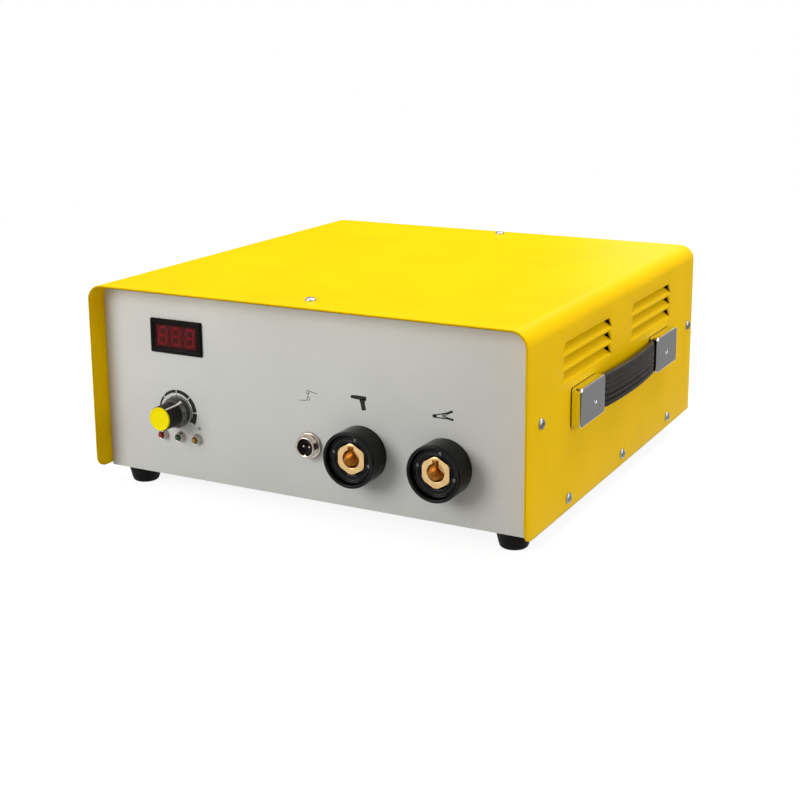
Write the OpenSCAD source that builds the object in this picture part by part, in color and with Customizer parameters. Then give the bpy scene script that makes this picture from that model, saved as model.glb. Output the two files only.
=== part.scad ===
// Capacitor-discharge stud welder, power unit: a bent sheet cover over a base tray,
// a front panel with meter, dial, lamps and output sockets, a side carrying handle,
// a rear panel with fan, switch and mains inlet, and the charging circuit inside.
// Millimetres, +Z up, the front panel faces -Y, origin under the middle of the overall box.

/* [Case] */
// Width of the cover across its side walls
case_w = 360; // [350:1:400]
// Depth of the cover from its front edge to its rear edge
case_d = 365; // [355:1:400]
// Height of the cover's side walls
case_h = 145; // [140:1:170]
// Sheet thickness of cover, panels and base
sheet_t = 1.5; // [1:0.1:2]
// Outer radius of the cover's two top bends
cover_bend_r = 12; // [8:0.5:16]
// Radius of the side walls' lower front corners
wall_corner_r = 9; // [5:0.5:13]
// How far the front and rear panels sit inside the cover's edges
panel_recess = 17; // [15:0.5:20]
// How far the base's underside lies below the cover's lower edge
base_drop = 2; // [1:0.1:3]
// Gap between the cover's inner face and what it slides over
cover_gap = 0.2; // [0.1:0.05:0.3]
// Depth of the panels' turned flanges
flange_d = 14; // [12:0.5:17]
// Height of the base's upturned flanges
base_flange_h = 17; // [15:0.5:18]

/* [Louvres] */
// Length of a louvre along its upper cut
louvre_top_l = 88; // [60:1:95]
// Length of a louvre along its lower bend
louvre_low_l = 101; // [70:1:110]
// Height of a louvre's opening
louvre_h = 9; // [6:0.2:9.8]
// Distance from one louvre to the next below it
louvre_pitch = 10.2; // [10:0.1:11]
// Height of the lowest louvre's bend above the cover's lower edge
louvre_z = 94.3; // [92:0.1:100]
// Offset of the middle between the two groups from the cover's middle
louvre_shift = -1.5; // [-6:0.5:6]
// Distance of each group's middle from that middle, as a share of the cover's depth
louvre_group_share = 0.1945; // [0.18:0.0005:0.2]
// Angle by which a louvre's tongue is bent inwards
louvre_angle = 45; // [30:1:55]

/* [Screws] */
// Radius of the cover screws' heads
screw_head_r = 4; // [3.4:0.1:4.4]
// Height of the cover screws' heads
screw_head_h = 2.2; // [1.6:0.1:2.6]
// Radius of the cover screws' shanks
screw_r = 2; // [1.5:0.1:2.2]
// Length of the cover screws' shanks
screw_l = 8; // [6:0.5:10]
// Radial clearance of a screw in its hole
screw_gap = 0.1; // [0.05:0.01:0.3]
// Distance of the front screws from the cover's front edge
screw_inset = 23.5; // [22:0.5:26]
// Distance of the rear screws from the cover's rear edge
rear_screw_inset = 12.5; // [10:0.5:14]
// Height of the end screws above the cover's lower edge
screw_side_z = 77.5; // [60:0.5:85]
// Height of the lower screw row above the cover's lower edge
screw_row_z = 9; // [8:0.5:10]
// Distance of the row's first screw from the cover's front edge
screw_row_y = 76; // [60:1:80]
// Distance of the row's last screw from the cover's rear edge
screw_row_rear = 63; // [60:1:75]
// Sideways place of the two top screws
screw_top_x = 3; // [-6:0.5:6]

/* [Feet] */
// Height of the rubber feet
foot_h = 13.4; // [10:0.2:20]
// Radius of a foot where it meets the base
foot_r = 13; // [11:0.1:13.4]
// Radius of a foot near the floor
foot_tip_r = 10.6; // [9:0.1:11]
// Distance of the feet from the cover's outer sides
foot_inset_x = 22; // [20:0.5:30]
// Distance of the rear feet from the cover's outer sides
foot_rear_inset_x = 27; // [22:0.5:32]
// Distance of the feet from the panels' outer faces
foot_inset_y = 15; // [15:0.5:26]

/* [Meter] */
// Width of the meter's bezel
meter_w = 46.5; // [43:0.1:50]
// Height of the meter's bezel
meter_h = 26.2; // [24:0.1:29]
// How far the bezel stands out of the panel
meter_out = 2.2; // [1.5:0.1:3]
// Width of the meter's window
meter_window_w = 37.5; // [34:0.1:39]
// Height of the meter's window
meter_window_h = 17.5; // [15:0.1:18.6]
// Distance of the meter's middle from the cover's left side
meter_inset = 68.8; // [62:0.1:74]
// Height of the meter's middle above the cover's lower edge
meter_z = 107.6; // [100:0.1:112]
// Depth of the meter's body behind the panel
meter_depth = 24; // [18:0.5:30]

/* [Dial] */
// Distance of the dial from the cover's left side
dial_inset = 67; // [62:0.1:70]
// Height of the dial above the cover's lower edge
dial_z = 49.5; // [46:0.1:54]
// How far the knob's cap stands out of the panel
knob_out = 23.5; // [20:0.5:26]
// Radius of the knob at its cap
knob_r = 9.4; // [8.4:0.1:10]
// Radius of the knob's body at its foot
knob_foot_r = 9.9; // [9.4:0.1:10.6]
// Radius of the knob's skirt
knob_skirt_r = 11.8; // [11:0.1:13]
// Angle of the knob's pointer from upright at rest, clockwise from the front
knob_rest = 35; // [0:1:90]
// Radius of the dial's shaft
shaft_r = 3; // [2.5:0.1:3.5]
// Radial running clearance of the shaft in its bush
shaft_gap = 0.05; // [0.02:0.01:0.1]

/* [Lamps] */
// Distance of the middle lamp from the cover's left side
lamp_inset = 69.1; // [66:0.1:72]
// Height of the lamps above the cover's lower edge
lamp_z = 30.2; // [28:0.1:31]
// Distance between the lamps
lamp_pitch = 15.6; // [13:0.1:18]
// Radius of a lamp's lens
lamp_r = 2.5; // [2:0.1:2.8]
// Radius of a lamp holder's rim
lamp_rim_r = 4; // [3.8:0.1:4.6]
// How far a lamp's lens stands out of the panel
lamp_out = 6.4; // [5.8:0.1:7]

/* [Trigger socket] */
// Distance from the trigger socket to the gun's socket
trigger_pitch = 42.5; // [38.5:0.1:46]
// Height of the trigger socket above the cover's lower edge
trigger_z = 39.6; // [36:0.1:44]
// Radius of the trigger socket's threaded barrel
trigger_r = 7.9; // [7.4:0.1:8.2]
// Radius of the trigger socket's flange
trigger_flange_r = 9.7; // [9:0.1:11]
// How far the trigger socket stands out of the panel
trigger_out = 7.5; // [7:0.1:10]

/* [Output sockets] */
// Distance between the two output sockets
socket_pitch = 66.2; // [62.5:0.1:69.5]
// Distance of the clamp's socket from the cover's right side
clamp_inset = 67.5; // [64:0.1:74]
// Height of the output sockets above the cover's lower edge
socket_z = 39.4; // [37:0.1:44]
// Radius of the socket's cup at the panel
cup_r = 20.5; // [19.8:0.1:21.5]
// Radius of the socket's cup at its rim
cup_rim_r = 20.5; // [19.6:0.05:21.2]
// How far the cup stands out of the panel
cup_out = 19.2; // [17:0.2:21]
// Thickness of the cup's rim
cup_rim_t = 2.6; // [2:0.1:3]
// Depth of the cup's recess below its rim
cup_recess = 4.8; // [4.2:0.1:5.6]
// Radius of the brass insert over its rounded corners
brass_r = 11.7; // [11.2:0.1:12]
// How far the brass insert's face stands out of the panel
brass_out = 15; // [14.8:0.1:16]
// Radius of the plug's bore in the brass insert
plug_r = 6.5; // [6:0.1:7]
// Length of the plug's bore
plug_l = 28; // [24:0.5:32]
// Width of the plug's key slot
key_w = 4.6; // [4:0.1:5]
// Length of the plug's key slot
key_l = 12; // [8:0.5:16]

/* [Handle] */
// Offset of the handle's middle from the cover's middle
handle_shift = 4.5; // [-2:0.5:7]
// Height of the handle's middle above the cover's lower edge
handle_z = 74.3; // [71:0.1:75]
// Overall length of the handle
handle_l = 219; // [208:1:226]
// Length of an end cap
cap_l = 49; // [44:0.5:51]
// Width of an end cap
cap_w = 28.4; // [28:0.1:32]
// How far an end cap stands off the cover
cap_out = 8.4; // [8.2:0.1:10]
// Length of the gentle slope at a cap's inner end
cap_slope_l = 5; // [4:0.5:10]
// Fall of that slope
cap_slope_fall = 0.5; // [0.3:0.1:0.8]
// Distance of a cap's screw from its outer end
cap_screw_y = 27.5; // [24:0.5:30]
// Width of the strap
strap_w = 25; // [22:0.2:25.2]
// Thickness of the strap over its ribs
strap_t = 5; // [4.4:0.1:5.2]
// Gap between the strap's ends and the cover
strap_end_gap = 2; // [1.8:0.1:2.1]
// Outward bow of the strap's middle
strap_bow = 3.3; // [2.5:0.1:4.5]
// Number of ribs along the strap
strap_ribs = 6; // [4:1:7]

/* [Rear] */
// Distance of the fan's middle from the cover's right side
fan_inset = 110; // [100:1:120]
// Height of the fan's middle above the cover's lower edge
fan_z = 72; // [66:0.5:80]
// Side length of the fan's square frame
fan_w = 80; // [76:1:84]
// Depth of the fan's frame
fan_d = 25; // [22:0.5:28]
// Distance of the mains switch from the cover's left side
switch_inset = 40; // [35:1:50]
// Height of the mains switch above the cover's lower edge
switch_z = 76; // [70:0.5:82]
// Turn of the switch's rocker between off and on
switch_turn = 20; // [14:1:24]
// Distance of the mains inlet from the cover's left side
inlet_inset = 46; // [42:1:52]
// Height of the mains inlet above the cover's lower edge
inlet_z = 34; // [32:0.5:40]
// Distance from the mains inlet to the earth stud
earth_pitch = 58; // [48:1:64]
// Radius of the earth stud
earth_r = 3; // [2.5:0.1:4]

/* [Inside] */
// Height of a capacitor can
can_h = 100; // [80:1:105]
// Columns of capacitor cans across the case
can_columns = 3; // [2:1:3]
// Rows of capacitor cans along the case
can_rows = 3; // [2:1:3]
// Width of the transformer's core
core_w = 96; // [84:1:100]
// Height of the transformer's core
core_h = 80; // [70:1:96]
// Stack of the transformer's core
core_stack = 45; // [36:1:50]
// Length of the heat sink
sink_l = 106; // [96:1:112]
// Width of the heat sink
sink_w = 60; // [50:1:64]
// Height of the heat sink
sink_h = 40; // [30:1:46]
// Length of the control board
board_l = 100; // [80:1:110]
// Width of the control board
board_w = 84; // [60:1:88]

/* [Hidden] */
$fn = 48;

// Finishes as the photograph shows them
paint_yellow = [0.98, 0.83, 0.02];
paint_grey = [0.77, 0.77, 0.74];
chrome = [0.78, 0.78, 0.8];
zinc = [0.7, 0.71, 0.72];
black_plastic = [0.06, 0.06, 0.06];
black_rubber = [0.09, 0.085, 0.08];
brass = [0.85, 0.62, 0.3];
copper = [0.78, 0.42, 0.25];
steel = [0.5, 0.5, 0.52];
aluminium = [0.72, 0.72, 0.74];
board_green = [0.05, 0.32, 0.16];

// Overrun of every cut past the face that it opens
cut = 1;

// Levels and faces of the case, from the floor and from the cover's front edge
cover_z = foot_h + base_drop;
floor_z = foot_h + sheet_t;
front_y = panel_recess;
rear_y = case_d - panel_recess;
inner_w = case_w - 2 * (sheet_t + cover_gap);
inner_h = case_h - sheet_t - cover_gap;
inner_r = cover_bend_r - sheet_t - cover_gap;

// The case is set so that the origin lies under the middle of the overall box
strap_out = strap_end_gap + strap_t + strap_bow;
handle_reach = max(cap_out, strap_out);
case_x = (screw_head_h - handle_reach) / 2;
front_reach = max(knob_out, cup_out, brass_out) - panel_recess;
case_y = (max(front_reach, 0) - case_d) / 2;

// Places on the panels and the sides, from the cover's edges
meter_x = meter_inset - case_w / 2;
dial_x = dial_inset - case_w / 2;
lamp_x = lamp_inset - case_w / 2;
clamp_x = case_w / 2 - clamp_inset;
gun_x = clamp_x - socket_pitch;
trigger_x = gun_x - trigger_pitch;
fan_x = case_w / 2 - fan_inset;
switch_x = switch_inset - case_w / 2;
inlet_x = inlet_inset - case_w / 2;
earth_x = inlet_x + earth_pitch;
handle_y = case_d / 2 + handle_shift;
louvre_mid_y = case_d / 2 + louvre_shift;
louvre_group_y = case_d * louvre_group_share;
screw_row_pitch = (case_d - screw_row_y - screw_row_rear) / 2;

module in_case() { translate([case_x, case_y, 0]) children(); }
// Each of these sets local x sideways, y up and z out of that side of the case
module on_front(x, z) { translate([x, front_y, cover_z + z]) rotate([90, 0, 0]) children(); }
module on_rear(x, z) { translate([x, rear_y, cover_z + z]) rotate([90, 0, 180]) children(); }
module on_right(y, z) { translate([case_w / 2, y, cover_z + z]) rotate([90, 0, 90]) children(); }
module on_left(y, z) { translate([-case_w / 2, y, cover_z + z]) rotate([90, 0, -90]) children(); }

// A box that is centred sideways and in y and stands on z = 0
module block(w, d, h) { translate([-w / 2, -d / 2, 0]) cube([w, d, h]); }
// A rectangle with round corners, centred
module round_rect(w, h, r) {
  square([w - 2 * r, h], center = true);
  square([w, h - 2 * r], center = true);
  for (x = [-1, 1], y = [-1, 1])
    translate([x * (w / 2 - r), y * (h / 2 - r)]) circle(r);
}
// A hexagonal nut on z = 0
module hex_nut(r, bore, h) {
  difference() {
    cylinder(r = r, h = h, $fn = 6);
    translate([0, 0, -cut]) cylinder(r = bore, h = h + 2 * cut);
  }
}

// Screws

// Width and depth of the cross recess in a screw's head
cross_w_share = 0.24;
cross_l_share = 1.2;
cross_depth_share = 0.55;
// Outline of a domed head, as shares of its radius and height
dome_shares = [[0, 0], [1, 0], [1, 0.4], [0.86, 0.72], [0.55, 0.94], [0.25, 1], [0, 1]];

module pan_screw(head_r, head_h, r, l) {
  difference() {
    rotate_extrude() polygon([for (p = dome_shares) [p[0] * head_r, p[1] * head_h]]);
    for (a = [0, 90])
      rotate([0, 0, a])
        translate([0, 0, head_h * (1 - cross_depth_share)])
          block(head_r * cross_l_share, head_r * cross_w_share, head_h);
  }
  translate([0, 0, -l]) cylinder(r = r, h = l);
}

// Cover and its screws

module case_outline(w, h, r) {
  translate([-w / 2, 0]) square([w, h - r]);
  translate([-w / 2 + r, 0]) square([w - 2 * r, h]);
  for (s = [-1, 1]) translate([s * (w / 2 - r), h - r]) circle(r);
}

louvre_outline = [[-louvre_low_l / 2, 0], [louvre_low_l / 2, 0],
  [louvre_top_l / 2, louvre_h], [-louvre_top_l / 2, louvre_h]];
louvre_rows = 3;
// Slit that the punch leaves beside a tongue
louvre_slit = 0.3;
tongue_outline = [[-louvre_low_l / 2 + louvre_slit, -louvre_slit],
  [louvre_low_l / 2 - louvre_slit, -louvre_slit],
  [louvre_top_l / 2 - louvre_slit, louvre_h - louvre_slit],
  [-louvre_top_l / 2 + louvre_slit, louvre_h - louvre_slit]];

module at_louvres() {
  for (g = [-1, 1], row = [0 : louvre_rows - 1]) {
    y = louvre_mid_y + g * louvre_group_y;
    z = louvre_z + row * louvre_pitch;
    on_right(y, z) children();
    on_left(y, z) children();
  }
}
module at_cover_screws() {
  for (y = [screw_inset, case_d - rear_screw_inset]) {
    on_right(y, screw_side_z) children();
    on_left(y, screw_side_z) children();
    translate([screw_top_x, y, cover_z + case_h]) children();
  }
  for (i = [0 : 2]) {
    on_right(screw_row_y + i * screw_row_pitch, screw_row_z) children();
    on_left(screw_row_y + i * screw_row_pitch, screw_row_z) children();
  }
}
module screw_holes() {
  at_cover_screws()
    translate([0, 0, -screw_l - cut]) cylinder(r = screw_r + screw_gap, h = screw_l + 2 * cut);
}
module at_cap_screws() {
  for (s = [-1, 1]) on_right(handle_y + s * (handle_l / 2 - cap_screw_y), handle_z) children();
}

module cover() color(paint_yellow) in_case() {
  difference() {
    translate([0, case_d, cover_z]) rotate([90, 0, 0]) linear_extrude(case_d) difference() {
      case_outline(case_w, case_h, cover_bend_r);
      translate([0, -cut])
        case_outline(case_w - 2 * sheet_t, case_h - sheet_t + cut, cover_bend_r - sheet_t);
    }
    difference() {
      translate([-case_w / 2 - cut, -cut, cover_z - cut])
        cube([case_w + 2 * cut, wall_corner_r + cut, wall_corner_r + cut]);
      translate([-case_w / 2 - 2 * cut, wall_corner_r, cover_z + wall_corner_r])
        rotate([0, 90, 0]) cylinder(r = wall_corner_r, h = case_w + 4 * cut);
    }
    at_louvres()
      translate([0, 0, -sheet_t - cut]) linear_extrude(sheet_t + 2 * cut) polygon(louvre_outline);
    screw_holes();
    at_cap_screws()
      translate([0, 0, -sheet_t - cut])
        cylinder(r = cap_screw_r + screw_gap, h = sheet_t + 2 * cut);
  }
  at_louvres() rotate([-louvre_angle, 0, 0])
    translate([0, 0, -sheet_t]) linear_extrude(sheet_t) polygon(tongue_outline);
}

module cover_screws() color(zinc) in_case()
  at_cover_screws() pan_screw(screw_head_r, screw_head_h, screw_r, screw_l);

// Base, panels and feet

// Room left at the corners where flanges of two sheets would meet
flange_clear = 3;
base_end_flange_h = 12;

module base_tray() color(paint_grey) in_case() {
  length = rear_y - front_y - 2 * panel_thick;
  difference() {
    translate([0, front_y + panel_thick, foot_h]) {
      translate([-inner_w / 2, 0, 0]) cube([inner_w, length, sheet_t]);
      for (s = [-1, 1])
        translate([s * (inner_w - sheet_t) / 2 - sheet_t / 2, 0, 0])
          cube([sheet_t, length, base_flange_h]);
      for (y = [0, length - sheet_t])
        translate([-inner_w / 2, y, 0]) cube([inner_w, sheet_t, base_end_flange_h]);
    }
    screw_holes();
    at_feet() cylinder(r = foot_screw_r + screw_gap, h = floor_z + cut);
  }
}

// A panel's plate with its flanges turned from a depth, out of the case along local z, cut-outs as children
module end_panel(flange_z) {
  difference() {
    union() {
      translate([0, -base_drop, -panel_thick])
        linear_extrude(panel_thick) case_outline(inner_w, inner_h + base_drop, inner_r);
      low = base_flange_h + flange_clear - base_drop;
      for (s = [-1, 1])
        translate([s * (inner_w - sheet_t) / 2 - sheet_t / 2, low, flange_z])
          cube([sheet_t, inner_h - inner_r - low, flange_d]);
      translate([-inner_w / 2 + inner_r, inner_h - sheet_t, flange_z])
        cube([inner_w - 2 * inner_r, sheet_t, flange_d]);
    }
    children();
  }
}
module panel_hole(x, z, r) {
  translate([x, z, -panel_thick - cut]) cylinder(r = r, h = panel_thick + 2 * cut);
}
module panel_window(x, z, w, h) {
  translate([x, z, -panel_thick - cut]) block(w, h, panel_thick + 2 * cut);
}

module front_panel() color(paint_grey) in_case() difference() {
  on_front(0, 0) end_panel(-flange_d) {
    panel_window(meter_x, meter_z, meter_body_w + 2 * fit_gap, meter_body_h + 2 * fit_gap);
    panel_hole(dial_x, dial_z, bush_r + fit_gap);
    for (i = [-1 : 1]) panel_hole(lamp_x + i * lamp_pitch, lamp_z, lamp_body_r + fit_gap);
    panel_hole(trigger_x, trigger_z, trigger_neck_r + fit_gap);
    for (x = [gun_x, clamp_x]) {
      panel_hole(x, socket_z, cup_neck_r + fit_gap);
      translate([x, socket_z, 0]) at_rivets() panel_hole(0, 0, rivet_r + fit_gap);
    }
  }
  screw_holes();
}

module rear_panel() color(paint_grey) in_case() difference() {
  on_rear(0, 0) end_panel(-panel_thick) {
    panel_hole(-fan_x, fan_z, duct_r);
    translate([-fan_x, fan_z, 0]) at_fan_screws() panel_hole(0, 0, fan_screw_r + fit_gap);
    panel_window(-switch_x, switch_z, switch_body_w + 2 * fit_gap, switch_body_h + 2 * fit_gap);
    panel_window(-inlet_x, inlet_z, inlet_body_w + 2 * fit_gap, inlet_body_h + 2 * fit_gap);
    translate([-inlet_x, inlet_z, 0]) at_inlet_screws() panel_hole(0, 0, inlet_screw_r + fit_gap);
    panel_hole(-earth_x, inlet_z, earth_collar_r + fit_gap);
  }
  screw_holes();
}
// Clearance of what passes through a panel
fit_gap = 0.2;

foot_screw_r = 2;
foot_screw_head_r = 3.8;
foot_screw_head_h = 2.2;
foot_well_r = 4.6;
// Foot outline: places of the taper's end and of the rounded tip, as shares of its height and radius
foot_taper_share = 0.22;
foot_round_share = 0.07;
foot_base_share = 0.8;
foot_round_r_share = 0.93;
foot_well_share = 0.55;

module at_feet() {
  for (x = [-1, 1], place = [[foot_inset_x, front_y + foot_inset_y],
      [foot_rear_inset_x, rear_y - foot_inset_y]])
    translate([x * (case_w / 2 - place.x), place.y, 0]) children();
}
module feet() color(black_rubber) in_case() at_feet() difference() {
  rotate_extrude() polygon([[0, 0], [foot_tip_r * foot_base_share, 0],
    [foot_tip_r * foot_round_r_share, foot_h * foot_round_share],
    [foot_tip_r, foot_h * foot_taper_share], [foot_r, foot_h], [0, foot_h]]);
  translate([0, 0, -cut]) cylinder(r = foot_well_r, h = foot_h * foot_well_share + cut);
  cylinder(r = foot_screw_r + screw_gap, h = foot_h + cut);
}
foot_screw_rise = 3;
module foot_screws() color(zinc) in_case() at_feet()
  translate([0, 0, foot_h * foot_well_share]) rotate([180, 0, 0])
    pan_screw(foot_screw_head_r, foot_screw_head_h, foot_screw_r,
      foot_h * (1 - foot_well_share) + sheet_t + foot_screw_rise);

// Meter

meter_wall = 1.6;
meter_body_w = meter_window_w + 2 * meter_wall;
meter_body_h = meter_window_h + 2 * meter_wall;
// How far the window lies below the bezel's face, its thickness, and the bezel's bevel
meter_window_drop = 0.8;
meter_window_t = 1.2;
meter_bevel = 1.2;
meter_corner_r = 1;
window_gap = 0.1;
display_t = 6;

module meter_housing() color(black_plastic) in_case() on_front(meter_x, meter_z) difference() {
  union() {
    intersection() {
      linear_extrude(meter_out) round_rect(meter_w, meter_h, meter_corner_r);
      union() {
        block(meter_w, meter_h, meter_out - meter_bevel);
        block(meter_w - meter_bevel, meter_h - meter_bevel, meter_out);
      }
    }
    translate([0, 0, -meter_depth]) block(meter_body_w, meter_body_h, meter_depth);
  }
  translate([0, 0, meter_wall - meter_depth])
    block(meter_window_w, meter_window_h, meter_depth + meter_out);
}
meter_window_z = meter_out - meter_window_drop - meter_window_t;
module meter_window() color([0.3, 0.04, 0.04]) in_case() on_front(meter_x, meter_z)
  translate([0, 0, meter_window_z])
    block(meter_window_w - 2 * window_gap, meter_window_h - 2 * window_gap, meter_window_t);

// Display block behind the window: a carrier with three digits of seven bars and a point
digit_h_share = 0.82;
digit_w_share = 0.235;
digit_pitch_share = 0.33;
digit_h = meter_window_h * digit_h_share;
digit_w = meter_window_w * digit_w_share;
digit_pitch = meter_window_w * digit_pitch_share;
digit_shift = -0.8;
bar_t = 1.7;
bar_rise = 0.3;
bar_gap = 0.35;
point_r = 0.6;
module digit_bar(l) { block(l, bar_t, bar_rise); }
module digit() {
  upright_l = digit_h / 2 - bar_t / 2 - 2 * bar_gap;
  for (y = [-1 : 1]) translate([0, y * (digit_h - bar_t) / 2, 0]) digit_bar(digit_w - bar_t - 2 * bar_gap);
  for (x = [-1, 1], y = [-1, 1])
    translate([x * (digit_w - bar_t) / 2, y * (digit_h - bar_t) / 4, 0])
      rotate([0, 0, 90]) digit_bar(upright_l);
  translate([digit_w / 2 + bar_gap + point_r, -(digit_h - bar_t) / 2, 0]) cylinder(r = point_r, h = bar_rise);
}
module meter_display() color([0.55, 0.08, 0.08]) in_case() on_front(meter_x, meter_z)
  translate([0, 0, meter_window_z - window_gap - bar_rise]) {
    translate([0, 0, -display_t])
      block(meter_window_w - 2 * window_gap, meter_window_h - 2 * window_gap, display_t);
    for (i = [-1 : 1]) translate([i * digit_pitch + digit_shift, 0, 0]) digit();
  }

// Dial

bush_r = 4.5;
bush_out = 7;
pot_r = 12;
pot_depth = 16;
dial_nut_r = 6.6;
dial_nut_h = 2.2;
washer_r = 7.5;
washer_h = 0.8;
knob_gap = 0.5;
skirt_h = 7.4;
skirt_edge_h = 4.2;
knob_well_r = 8;
knob_cap_h = 1.6;
knob_cap_plug_r = 6;
knob_cap_plug_l = 2;
knob_cap_edge = 0.5;
knob_cap_set = 0.45;
pointer_w = 1.2;
pointer_depth = 0.35;
pointer_foot = 0.5;
knob_cap_r = knob_r - knob_cap_set;
// Where the shaft's flat end stops in the knob
shaft_out = 17;
shaft_in = 6;

module dial_potentiometer() color(steel) in_case() on_front(dial_x, dial_z) difference() {
  union() {
    translate([0, 0, -panel_thick - pot_depth]) cylinder(r = pot_r, h = pot_depth);
    translate([0, 0, -panel_thick]) cylinder(r = bush_r, h = panel_thick + bush_out);
  }
  translate([0, 0, -panel_thick - shaft_in]) cylinder(r = shaft_r + shaft_gap, h = knob_out + shaft_in);
}
module dial_nut() color(zinc) in_case() on_front(dial_x, dial_z) {
  difference() {
    cylinder(r = washer_r, h = washer_h);
    translate([0, 0, -cut]) cylinder(r = bush_r + screw_gap, h = washer_h + 2 * cut);
  }
  translate([0, 0, washer_h]) hex_nut(dial_nut_r, bush_r + screw_gap, dial_nut_h);
}
module dial_shaft() color(zinc) in_case() on_front(dial_x, dial_z)
  translate([0, 0, shaft_gap - panel_thick - shaft_in])
    cylinder(r = shaft_r, h = shaft_out + panel_thick + shaft_in - shaft_gap);

module knob_body() color(black_plastic) in_case() on_front(dial_x, dial_z) difference() {
  top = knob_out - knob_cap_h;
  rotate_extrude() polygon([[0, knob_gap], [knob_skirt_r, knob_gap],
    [knob_skirt_r, knob_gap + skirt_edge_h], [knob_foot_r, knob_gap + skirt_h],
    [knob_r, top], [0, top]]);
  translate([0, 0, -cut]) cylinder(r = knob_well_r, h = cut + bush_out + knob_gap);
  cylinder(r = shaft_r, h = shaft_out);
  translate([0, 0, top - knob_cap_plug_l]) cylinder(r = knob_cap_plug_r, h = knob_cap_plug_l + cut);
  rotate([0, 0, -knob_rest])
    translate([-pointer_w / 2, knob_r - pointer_depth, knob_gap + skirt_h + pointer_foot])
      cube([pointer_w, knob_foot_r, knob_out]);
}
module knob_cap() color([0.93, 0.85, 0]) in_case() on_front(dial_x, dial_z)
  rotate_extrude() polygon([[0, knob_out - knob_cap_h - knob_cap_plug_l],
    [knob_cap_plug_r, knob_out - knob_cap_h - knob_cap_plug_l],
    [knob_cap_plug_r, knob_out - knob_cap_h], [knob_cap_r, knob_out - knob_cap_h],
    [knob_cap_r, knob_out - knob_cap_edge], [knob_cap_r - knob_cap_edge, knob_out], [0, knob_out]]);

// Lamps

lamp_body_r = 3.4;
lamp_rim_h = 1.2;
lamp_nose_h = 4.2;
lamp_body_l = 9;
lamp_gap = 0.1;
lamp_flange_share = 1.4;
lamp_flange_r = lamp_r * lamp_flange_share;
lamp_foot_l = 3;

module led_holders() color(chrome) in_case()
  for (i = [-1 : 1]) on_front(lamp_x + i * lamp_pitch, lamp_z) difference() {
    union() {
      rotate_extrude() polygon([[0, 0], [lamp_rim_r, 0], [lamp_rim_r, lamp_rim_h],
        [lamp_body_r, lamp_nose_h], [0, lamp_nose_h]]);
      translate([0, 0, -lamp_body_l]) cylinder(r = lamp_body_r, h = lamp_body_l);
    }
    translate([0, 0, -lamp_body_l - cut])
      cylinder(r = lamp_r + lamp_gap, h = lamp_body_l + lamp_nose_h + 2 * cut);
  }
module lamp_lens(i) {
  on_front(lamp_x + i * lamp_pitch, lamp_z) {
    translate([0, 0, -lamp_body_l]) cylinder(r = lamp_r, h = lamp_body_l + lamp_out - lamp_r);
    translate([0, 0, lamp_out - lamp_r]) sphere(lamp_r);
    translate([0, 0, -lamp_body_l - lamp_foot_l]) cylinder(r = lamp_flange_r, h = lamp_foot_l);
  }
}
module led_red() color([0.6, 0.05, 0.05]) in_case() lamp_lens(-1);
module led_green() color([0.05, 0.35, 0.12]) in_case() lamp_lens(0);
module led_amber() color([0.75, 0.6, 0.05]) in_case() lamp_lens(1);

// Trigger socket

trigger_flange_h = 2;
trigger_neck_r = 7;
trigger_neck_l = 9;
trigger_wall = 1.6;
trigger_edge = 0.7;
trigger_insert_out = 0.6;
trigger_insert_l = 11;
trigger_pin_r = 1;
trigger_pin_x = 2.4;
trigger_pin_out = 5.2;
trigger_tail_l = 5;
trigger_key_r = 1.1;
trigger_nut_r = 10;
trigger_nut_h = 3;

module trigger_bore_shape(gap) {
  difference() {
    circle(trigger_r - trigger_wall - gap);
    translate([0, -(trigger_r - trigger_wall)]) circle(trigger_key_r + gap);
  }
}
module trigger_socket_shell() color(chrome) in_case() on_front(trigger_x, trigger_z) difference() {
  union() {
    cylinder(r = trigger_flange_r, h = trigger_flange_h);
    cylinder(r = trigger_r, h = trigger_out - trigger_edge);
    translate([0, 0, trigger_out - trigger_edge])
      cylinder(r1 = trigger_r, r2 = trigger_r - trigger_edge, h = trigger_edge);
    translate([0, 0, -trigger_neck_l]) cylinder(r = trigger_neck_r, h = trigger_neck_l);
  }
  translate([0, 0, -trigger_neck_l - cut])
    linear_extrude(trigger_neck_l + trigger_out + 2 * cut) trigger_bore_shape(0);
}
module trigger_socket_insert() color(black_plastic) in_case() on_front(trigger_x, trigger_z)
  translate([0, 0, trigger_insert_out - trigger_insert_l]) difference() {
    linear_extrude(trigger_insert_l) trigger_bore_shape(fit_gap / 2);
    for (s = [-1, 1])
      translate([s * trigger_pin_x, 0, -cut])
        cylinder(r = trigger_pin_r, h = trigger_insert_l + 2 * cut);
  }
module trigger_socket_pins() color([0.86, 0.82, 0.7]) in_case() on_front(trigger_x, trigger_z)
  for (s = [-1, 1])
    translate([s * trigger_pin_x, 0, trigger_insert_out - trigger_insert_l - trigger_tail_l]) {
      pin_l = trigger_pin_out - trigger_insert_out + trigger_insert_l + trigger_tail_l;
      cylinder(r = trigger_pin_r, h = pin_l - trigger_pin_r);
      translate([0, 0, pin_l - trigger_pin_r]) sphere(trigger_pin_r);
    }
module trigger_socket_nut() color(zinc) in_case() on_front(trigger_x, trigger_z)
  translate([0, 0, -panel_thick - trigger_nut_h])
    hex_nut(trigger_nut_r, trigger_neck_r + screw_gap, trigger_nut_h);

// Output sockets

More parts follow.
